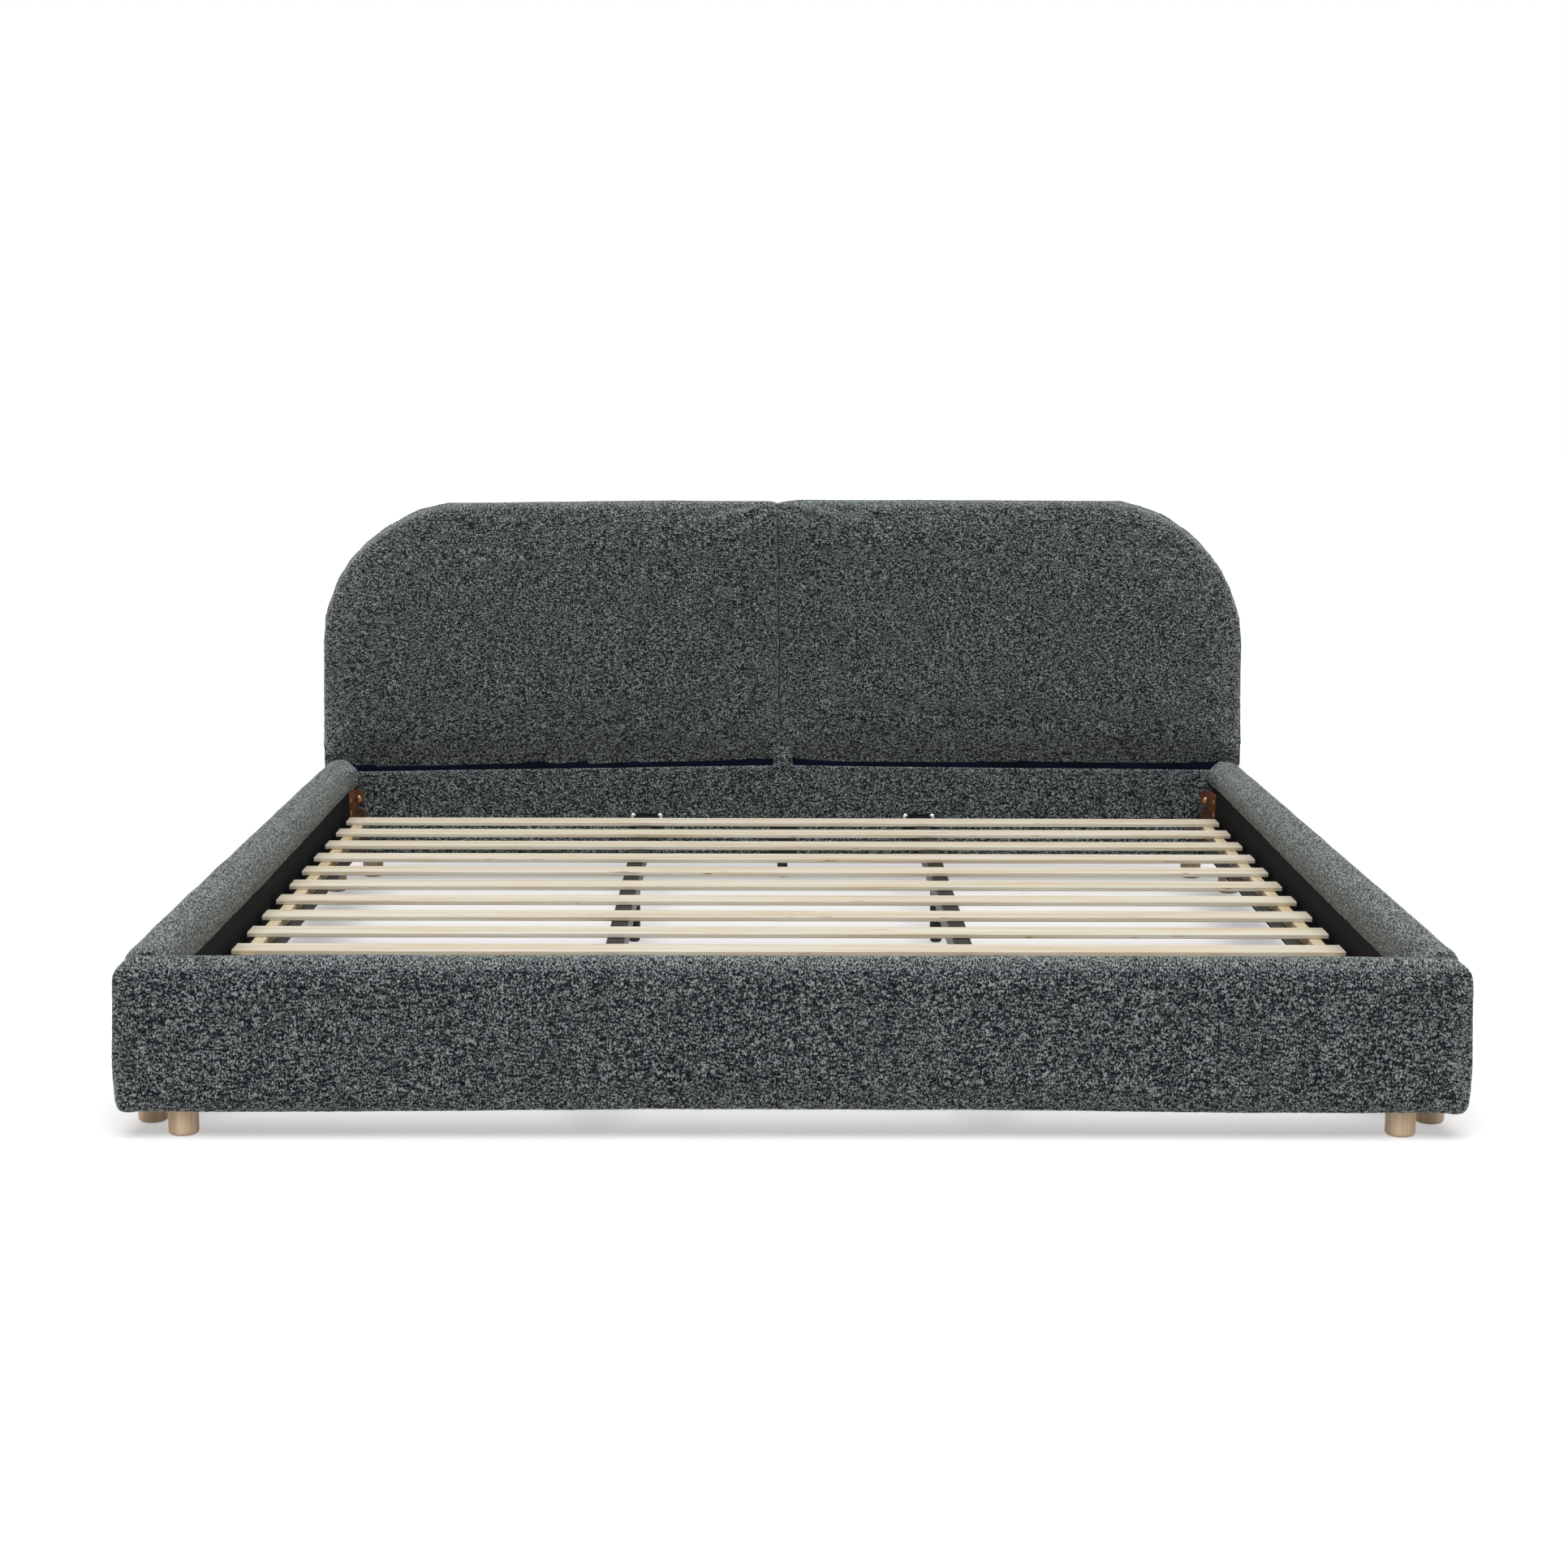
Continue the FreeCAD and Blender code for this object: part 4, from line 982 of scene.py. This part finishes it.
def rail_cover(side):
    """A side rail's padded cover: a rolled section drawn from end to end and swollen."""
    sign = SIGN[side]
    low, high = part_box("right_rail_cover")
    core_low, core_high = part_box("right_rail_core")
    lining_low, lining_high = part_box("right_rail_lining")
    room = bpy.context.scene.bed_upholstery.cover_swell
    face = high.x - room
    top = high.z - room
    roll = low.x + room
    flap = lining_high.z + FLAP_TURN
    outer = rounded_path([
        (core_low.x, low.z, 0),
        (face, low.z + 0.5 * room, BOTTOM_ROUND),
        (face, top, TOP_ROUND),
        (roll, top, ROLL_ROUND),
        (roll, flap, FLAP_ROUND),
        (lining_low.x - LINING_CLEAR, lining_high.z, 0),
    ], PROFILE_STEP)
    count = len(outer)
    near, far = core_low.x - BOARD_CLEAR, core_high.x + BOARD_CLEAR
    under, over = core_low.z - BOARD_CLEAR, core_high.z + BOARD_CLEAR
    inner = resampled([
        (near, under), (far, under), (far, over), (near, over), (near, lining_high.z),
    ], count)
    stations = np.linspace(low.y, high.y, round((high.y - low.y) / SECTION_STEP))
    near_end = np.minimum(stations - low.y, high.y - stations)
    rings = []
    for y, gap in zip(stations, near_end):
        tuck = END_TUCK * (1 - ease(gap, 0, 14 * MM))
        ring = np.concatenate([outer + (inner - outer) * tuck, inner[::-1]])
        rings.append(np.column_stack([sign * ring[:, 0], np.full(len(ring), y), ring[:, 1]]))
    rings = np.array(rings)
    cover = built(f"{side}_rail_upholstery", *lofted(rings))
    outward(cover)
    held = np.ones(rings.shape[:2], bool)
    held[1:-1, 1:count - 1] = False
    swell(cover, held.ravel(), COVER_CAP * room)

    # the swell is evened out along the rail, whose cloth is stretched from end to end
    swollen = points_of(cover).reshape(rings.shape) - rings
    even = np.broadcast_to(np.median(swollen, axis=0), rings.shape)
    ends = (1 - ease(near_end, 0, 30 * MM))[:, None, None]
    shaped = rings + even + (swollen - even) * np.maximum(SWELL_UNEVEN, ends)
    # the rolled edge hangs, and waves where it is stapled down
    hang = np.zeros(rings.shape[1])
    rolled = top - ROLL_ROUND
    hang[:count] = np.clip((rolled - outer[:, 1]) / (rolled - flap), 0, 1) * (outer[:, 0] < core_low.x)
    shaped[:, :, 2] -= np.interp(stations, FLAP_PLACES, FLAP_FALL[side])[:, None] * hang
    waving = np.zeros(rings.shape[1])
    waving[count - FLAP_POINTS:count] = np.linspace(0, 1, FLAP_POINTS) ** 2
    swaying = waving * (np.arange(rings.shape[1]) < count - 1)
    for y, ring in zip(stations, shaped):
        wave = noise.noise(Vector((FLAP_SEED[side], y / FLAP_WAVES[0], 0)))
        wave += 0.6 * noise.noise(Vector((FLAP_SEED[side], y / FLAP_WAVES[1], 4)))
        ring[:, 2] += FLAP_WAVE * wave * waving
        ring[:, 0] -= sign * FLAP_SWAY * wave * swaying
    set_points(cover, shaped.reshape(-1, 3))
    subdivide(cover)
    x, _, z = points_of(cover).T
    padding = (np.abs(x) > core_high.x + 2 * MM) | (z > core_high.z + 2 * MM)
    fill_out(cover, padding, [
        (0, sign, sign * (high.x - RAIL_INSET[side]), FLAT), (2, 1, high.z, FLAT)])

    points = points_of(cover)
    x, y, z = points.T
    # the right rail's outer face stands a little further out at its head end
    x += RAIL_ASKEW[side] * y / high.y * ease(np.abs(x), core_high.x, high.x)
    # the roll fills out inwards where it meets the headboard
    bulge = HEAD_BULGE * ease(y, high.y - HEAD_REACH, high.y)
    bulge *= 1 - ease(np.abs(x), roll + 4 * MM, core_low.x)
    x -= sign * bulge
    set_points(cover, points)
    size = np.abs(x)
    boarded = (size > core_low.x - MM) & (size < core_high.x + 2 * MM) & (z < core_high.z + 2 * MM)
    from_end = ease(np.minimum(y - low.y, high.y - y), 0, 8 * MM)
    raise_nap(cover, (1.0 - boarded) * from_end, RAIL_SEED[side])
    upholstered(cover, [f"{side}_rail_cover"])


LINING_COLUMNS = 120
LINING_ROWS = 14
RAIL_RIPPLE = 0.35 * MM
FOOTBOARD_RIPPLE = 0.3 * MM
FOOTBOARD_LINING = 0.6 * MM


def rail_lining(side):
    """The lining stretched over a rail's inner face, below the rolled edge."""
    sign = SIGN[side]
    low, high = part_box("right_rail_lining")
    points = []
    for z in np.linspace(low.z + 0.5 * MM, high.z + 2 * MM, LINING_ROWS):
        for y in np.linspace(low.y, high.y, LINING_COLUMNS):
            ripple = RAIL_RIPPLE * noise.noise(Vector((sign * 3, y * 7, z * 20)))
            points.append((sign * ((low.x + high.x) / 2 + ripple), y, z))
    lining = built(f"{side}_rail_lining_cloth", points, grid_faces(LINING_ROWS, LINING_COLUMNS))
    flat_cloth(lining, [f"{side}_rail_lining"], black_lining(),
               LINING_THICK)


def footboard_lining():
    """The lining stretched over the footboard's inner face."""
    low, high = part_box("footboard_lining")
    points = []
    for z in np.linspace(low.z + 0.5 * MM, high.z + 1 * MM, LINING_ROWS):
        for x in np.linspace(low.x, high.x, LINING_COLUMNS):
            ripple = FOOTBOARD_RIPPLE * noise.noise(Vector((x * 7, 1.5, z * 20)))
            points.append((x, high.y - LINING_CLEAR + ripple, z))
    lining = built("footboard_lining_cloth", points, grid_faces(LINING_ROWS, LINING_COLUMNS))
    flat_cloth(lining, ["footboard_lining"], black_lining(),
               FOOTBOARD_LINING)


END_ROUND = 15 * MM
HEM_ROUND = 8 * MM
HEART = 25 * MM
WALL_CLEAR = 1.2 * MM
NICHE_RISE = 20 * MM
# The ends are drawn in towards the bottom and the top, and their corners are round
END_TAPER = 7 * MM
END_LEAN = 7 * MM
LEAN_START = 40 * MM
END_SPAN = 60 * MM
UPPER_CORNER = 38 * MM
LOWER_CORNER = 14 * MM
# The cloth's gathered corners hang lower than the stretched edge between them
HEM_DROP = 1.5 * MM
SAG = 4.5 * MM
SAG_SPAN = (0.15, 0.75)
FOOTBOARD_SEED = 41


def round_corner(points, corner, radius, up):
    """Rounds the two end corners at one height, seen from the front."""
    reach, height = corner
    x, _, z = points.T
    sideways = np.maximum(np.abs(x) - (reach - radius), 0)
    upward = np.maximum(up * (z - height) + radius, 0)
    far = np.hypot(sideways, upward)
    keep = np.where((far > radius) & (sideways > 0) & (upward > 0), radius / np.maximum(far, TINY), 1)
    x -= np.sign(x) * sideways * (1 - keep)
    z -= up * upward * (1 - keep)


def footboard_cover():
    """The footboard's padded cover, rolled over the top and rounded at both ends."""
    low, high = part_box("footboard_cover")
    core_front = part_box("footboard_core")[0].y
    lining_low, lining_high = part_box("footboard_lining")
    room = bpy.context.scene.bed_upholstery.cover_swell
    front, back = low.y + room, high.y - room
    bottom, top = low.z + 0.3 * room, high.z - room
    middle = (low.y + high.y) / 2
    wall = lining_low.y + WALL_CLEAR
    face = rounded_path([
        (middle, bottom, 0), (front, bottom, HEM_ROUND), (front, top, TOP_ROUND), (middle, top, 0),
    ], PROFILE_STEP)
    start = (back, top - ROLL_ROUND - MM)
    roll = rounded_path([(middle, top, 0), (back, top, ROLL_ROUND), (*start, 0)], PROFILE_STEP)
    lower_count = len(face) - len(roll)
    niche = resampled([
        start, (back, lining_high.z + NICHE_RISE), (wall + 1 * MM, lining_high.z),
        (wall, lining_high.z - MM), (wall, bottom), (middle, bottom),
    ], lower_count + 2)[1:-1]
    plain = resampled([start, (back, bottom), (middle, bottom)], lower_count + 2)[1:-1]
    reach = high.x - room
    turn = END_ROUND * (1 - np.sin(np.linspace(0, math.pi / 2, 6)))
    straight = np.linspace(reach - END_ROUND, -(reach - END_ROUND), 120)[1:-1]
    heart_low = np.array([front, bottom]) + HEART
    heart_high = np.array([back, top]) - HEART
    rings = []
    for x in np.concatenate([reach - turn[::-1], straight, -reach + turn]):
        open_share = 1 - ease(abs(x), lining_high.x - 5 * MM, lining_high.x + 2 * MM)
        ring = np.concatenate([face, roll[1:], plain + (niche - plain) * open_share])
        if len(ring) % 2:
            ring = np.concatenate([ring, (ring[-1:] + ring[:1]) / 2])
        from_end = np.clip((reach - abs(x)) / END_ROUND, 0, 1)
        inset = END_ROUND * (1 - math.sqrt(1 - (1 - from_end) ** 2))
        inward = np.clip(ring, heart_low, heart_high) - ring
        far = np.maximum(np.linalg.norm(inward, axis=1, keepdims=True), TINY)
        ring = ring + inward / far * inset
        rings.append(np.column_stack([np.full(len(ring), x), ring]))
    cover = built("footboard_upholstery", *lofted(np.array(rings)))
    outward(cover)
    even_faces(cover, FOOTBOARD_VOXEL)

    def held_points(points):
        """Points that lie against the board, and the back of the two ends."""
        x, y, z = points.T
        boarded = (y > wall - 5 * MM) & (z < lining_high.z - 2 * MM)
        boarded &= np.abs(x) < lining_high.x + 4 * MM
        return boarded | (y > back - 2 * MM) & (np.abs(x) > lining_high.x - 12 * MM)

    swell(cover, held_points(points_of(cover)), COVER_CAP * room)
    subdivide(cover)
    free = 1.0 - held_points(points_of(cover))
    fill_out(cover, free, [
        (0, 1, high.x, FLAT), (0, -1, low.x, FLAT), (1, -1, low.y, FLAT), (2, 1, high.z, FLAT)])
    fill_out(cover, 1.0, [(2, -1, low.z, FLAT)])
    points = points_of(cover)
    x, y, z = points.T
    taper = END_TAPER * (1 - ease(z, low.z - 10 * MM, low.z + 75 * MM))
    taper += END_LEAN * np.clip((z - low.z - LEAN_START) / (high.z - low.z - LEAN_START), 0, 1)
    x -= np.sign(x) * taper * ease(np.abs(x), high.x - END_SPAN, high.x)
    round_corner(points, (high.x - END_LEAN, high.z), UPPER_CORNER, 1)
    round_corner(points, (high.x - END_TAPER, low.z), LOWER_CORNER, -1)
    low_down = 1 - ease(z, low.z + 20 * MM, low.z + 70 * MM)
    low_down *= 1 - ease(y, core_front - 14 * MM, core_front - 2 * MM)
    z -= low_down * (HEM_DROP + SAG * ease(np.abs(x) / high.x, *SAG_SPAN))
    set_points(cover, points)
    raise_nap(cover, 1.0 - held_points(points), FOOTBOARD_SEED)
    upholstered(cover, ["footboard_cover"])


# Steps

class BED_OT_headboard_pads(bpy.types.Operator):
    """Makes the two crowned pads of the headboard"""

    bl_idname = "bed.headboard_pads"
    bl_label = "Headboard pads"

    def execute(self, context):
        for side in ("left", "right"):
            headboard_pad(side)
        return {"FINISHED"}


class BED_OT_headboard_lower(bpy.types.Operator):
    """Makes the headboard's lower wrap, its centre web, the tapes and the back lining"""

    bl_idname = "bed.headboard_lower"
    bl_label = "Headboard, lower part and back"

    def execute(self, context):
        lower_cover()
        centre_tab()
        fastening_tapes()
        back_lining()
        return {"FINISHED"}


class BED_OT_side_rails(bpy.types.Operator):
    """Makes the padded side rails and their linings"""

    bl_idname = "bed.side_rails"
    bl_label = "Side rails"

    def execute(self, context):
        for side in ("left", "right"):
            rail_cover(side)
            rail_lining(side)
        return {"FINISHED"}


class BED_OT_footboard(bpy.types.Operator):
    """Makes the padded footboard and its lining"""

    bl_idname = "bed.footboard"
    bl_label = "Footboard"

    def execute(self, context):
        footboard_cover()
        footboard_lining()
        return {"FINISHED"}


class BED_OT_timber(bpy.types.Operator):
    """Finishes the slats, the battens, the boards inside and the feet"""

    bl_idname = "bed.timber"
    bl_label = "Timber"

    def execute(self, context):
        slats = [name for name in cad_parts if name.startswith("slat_")]
        dressed(slats, slat_veneer())
        dressed(["left_batten", "right_batten", "left_rail_core", "right_rail_core"],
                sawn_pine(1), edge=0.8 * MM)
        dressed(["footboard_core", "headboard_middle_rail", "headboard_lower_rail"], sawn_pine(0))
        # the panel is coloured near-black as painted shade, where it shows through gaps
        dressed(["headboard_panel"], plywood_darkened_as_shade())
        dressed(["headboard_left_post", "headboard_right_post"], sawn_pine(2))
        dressed(["footboard_feet", "headboard_feet", "left_rail_feet", "right_rail_feet"], turned_beech())
        return {"FINISHED"}


class BED_OT_metalwork(bpy.types.Operator):
    """Finishes the beams, hangers, ledgers, legs, brackets, fixings and plastic ends"""

    bl_idname = "bed.metalwork"
    bl_label = "Metalwork"

    def execute(self, context):
        dressed(["left_beam", "right_beam", "left_ledger", "right_ledger", "beam_hangers",
                 "headboard_joining_plate"], powder_coat(), edge=0.6 * MM)
        dressed(["beam_legs"], powder_coat())
        dressed(["head_left_bracket", "head_right_bracket", "foot_left_bracket", "foot_right_bracket"],
                yellow_zinc(), edge=0.5 * MM)
        dressed(["bracket_bolts"], yellow_zinc())
        dressed(["hanger_screws", "ledger_screws"], bright_steel())
        dressed(["leg_plugs", "headboard_centre_foot", "left_front_glide", "left_back_glide",
                 "right_front_glide", "right_back_glide"], black_plastic())
        return {"FINISHED"}


class BED_OT_stage(bpy.types.Operator):
    """Sets the camera, the floor and the light"""

    bl_idname = "bed.stage"
    bl_label = "Stage"

    def execute(self, context):
        stage = context.scene.bed_stage
        set_camera(stage)
        set_floor(stage)
        set_light(stage)
        context.scene.view_settings.view_transform = "Standard"
        return {"FINISHED"}


def set_camera(stage):
    """A camera at the eye, turned by yaw, pitch and roll."""
    ahead = Vector((math.sin(stage.yaw) * math.cos(stage.pitch),
                    math.cos(stage.yaw) * math.cos(stage.pitch), -math.sin(stage.pitch)))
    level = Vector((math.cos(stage.yaw), -math.sin(stage.yaw), 0))
    down = ahead.cross(level)
    right = math.cos(stage.roll) * level + math.sin(stage.roll) * down
    up = math.sin(stage.roll) * level - math.cos(stage.roll) * down
    lens = bpy.data.cameras.new("camera")
    lens.lens = stage.lens
    lens.sensor_width = SENSOR
    camera = bpy.data.objects.new("camera", lens)
    turn = Matrix((right, up, -ahead)).transposed().to_4x4()
    camera.matrix_world = Matrix.Translation(stage.eye) @ turn
    bpy.context.scene.collection.objects.link(camera)
    bpy.context.scene.camera = camera


def set_floor(stage):
    """A pale floor that keeps the bed's shadow; the camera sees it nearly white."""
    corners = [(FLOOR_HALF * x, FLOOR_HALF * y, 0) for x, y in ((-1, -1), (1, -1), (1, 1), (-1, 1))]
    floor = built("floor", corners, [(0, 1, 2, 3)])
    material = bpy.data.materials.new("painted_floor")
    material.use_nodes = True
    tree = material.node_tree
    tree.nodes.clear()
    paint = add_node(tree, "ShaderNodeBsdfDiffuse", {"Color": opaque(stage.floor)})
    glow = times(tree, seen_directly(tree), stage.floor_glow)
    white = add_node(tree, "ShaderNodeEmission", {"Strength": glow})
    both = add_node(tree, "ShaderNodeAddShader", {0: paint.outputs[0], 1: white.outputs[0]})
    add_node(tree, "ShaderNodeOutputMaterial", {"Surface": both.outputs[0]})
    floor.data.materials.append(material)


def seen_directly(tree):
    """1 for rays that the camera, a mirror or glass sends, 0 for rays that light the bed."""
    path = add_node(tree, "ShaderNodeLightPath")
    mirrored = add_node(tree, "ShaderNodeMath", {
        0: path.outputs["Is Camera Ray"], 1: path.outputs["Is Glossy Ray"]}, operation="MAXIMUM")
    return add_node(tree, "ShaderNodeMath", {
        0: mirrored.outputs[0], 1: path.outputs["Is Transmission Ray"]}, operation="MAXIMUM").outputs[0]


def set_light(stage):
    """Even light from all round and one broad soft key overhead, a little to the front."""
    world = bpy.data.worlds.new("studio")
    world.use_nodes = True
    tree = world.node_tree
    tree.nodes.clear()
    power = between(tree, seen_directly(tree), stage.ambient, 1.0)
    sky = add_node(tree, "ShaderNodeBackground", {"Color": (1, 1, 1, 1), "Strength": power})
    add_node(tree, "ShaderNodeOutputWorld", {"Surface": sky.outputs[0]})
    bpy.context.scene.world = world
    # a wide, distant key keeps the open floor evenly lit out to the horizon
    key = bpy.data.lights.new("overhead_key", "SUN")
    key.energy = stage.key * math.pi
    key.angle = stage.key_spread
    key_object = bpy.data.objects.new("overhead_key", key)
    key_object.rotation_euler = (stage.key_lean, 0, 0)
    bpy.context.scene.collection.objects.link(key_object)


class BED_PT_sidebar(bpy.types.Panel):
    """The bed's steps and settings in the sidebar"""

    bl_idname = "BED_PT_sidebar"
    bl_label = "Platform bed"
    bl_space_type = "VIEW_3D"
    bl_region_type = "UI"
    bl_category = "Bed"

    def draw(self, context):
        for operator in OPERATORS:
            self.layout.operator(operator.bl_idname)
        for name, group in SETTINGS.items():
            box = self.layout.box()
            box.label(text=group.__doc__)
            for setting in group.__annotations__:
                box.prop(getattr(context.scene, name), setting)


SETTINGS = {
    "bed_upholstery": BedUpholstery,
    "bed_timber": BedTimber,
    "bed_metal": BedMetal,
    "bed_stage": BedStage,
}
OPERATORS = (
    BED_OT_headboard_pads,
    BED_OT_headboard_lower,
    BED_OT_side_rails,
    BED_OT_footboard,
    BED_OT_timber,
    BED_OT_metalwork,
    BED_OT_stage,
)


def register():
    for item in (*SETTINGS.values(), *OPERATORS, BED_PT_sidebar):
        bpy.utils.register_class(item)
    for name, group in SETTINGS.items():
        setattr(bpy.types.Scene, name, PointerProperty(type=group))


def unregister():
    for name in SETTINGS:
        delattr(bpy.types.Scene, name)
    for item in reversed((*SETTINGS.values(), *OPERATORS, BED_PT_sidebar)):
        bpy.utils.unregister_class(item)


def main():
    register()
    bpy.ops.bed.headboard_pads()
    bpy.ops.bed.headboard_lower()
    bpy.ops.bed.side_rails()
    bpy.ops.bed.footboard()
    bpy.ops.bed.timber()
    bpy.ops.bed.metalwork()
    bpy.ops.bed.stage()


if __name__ == "__main__":
    main()
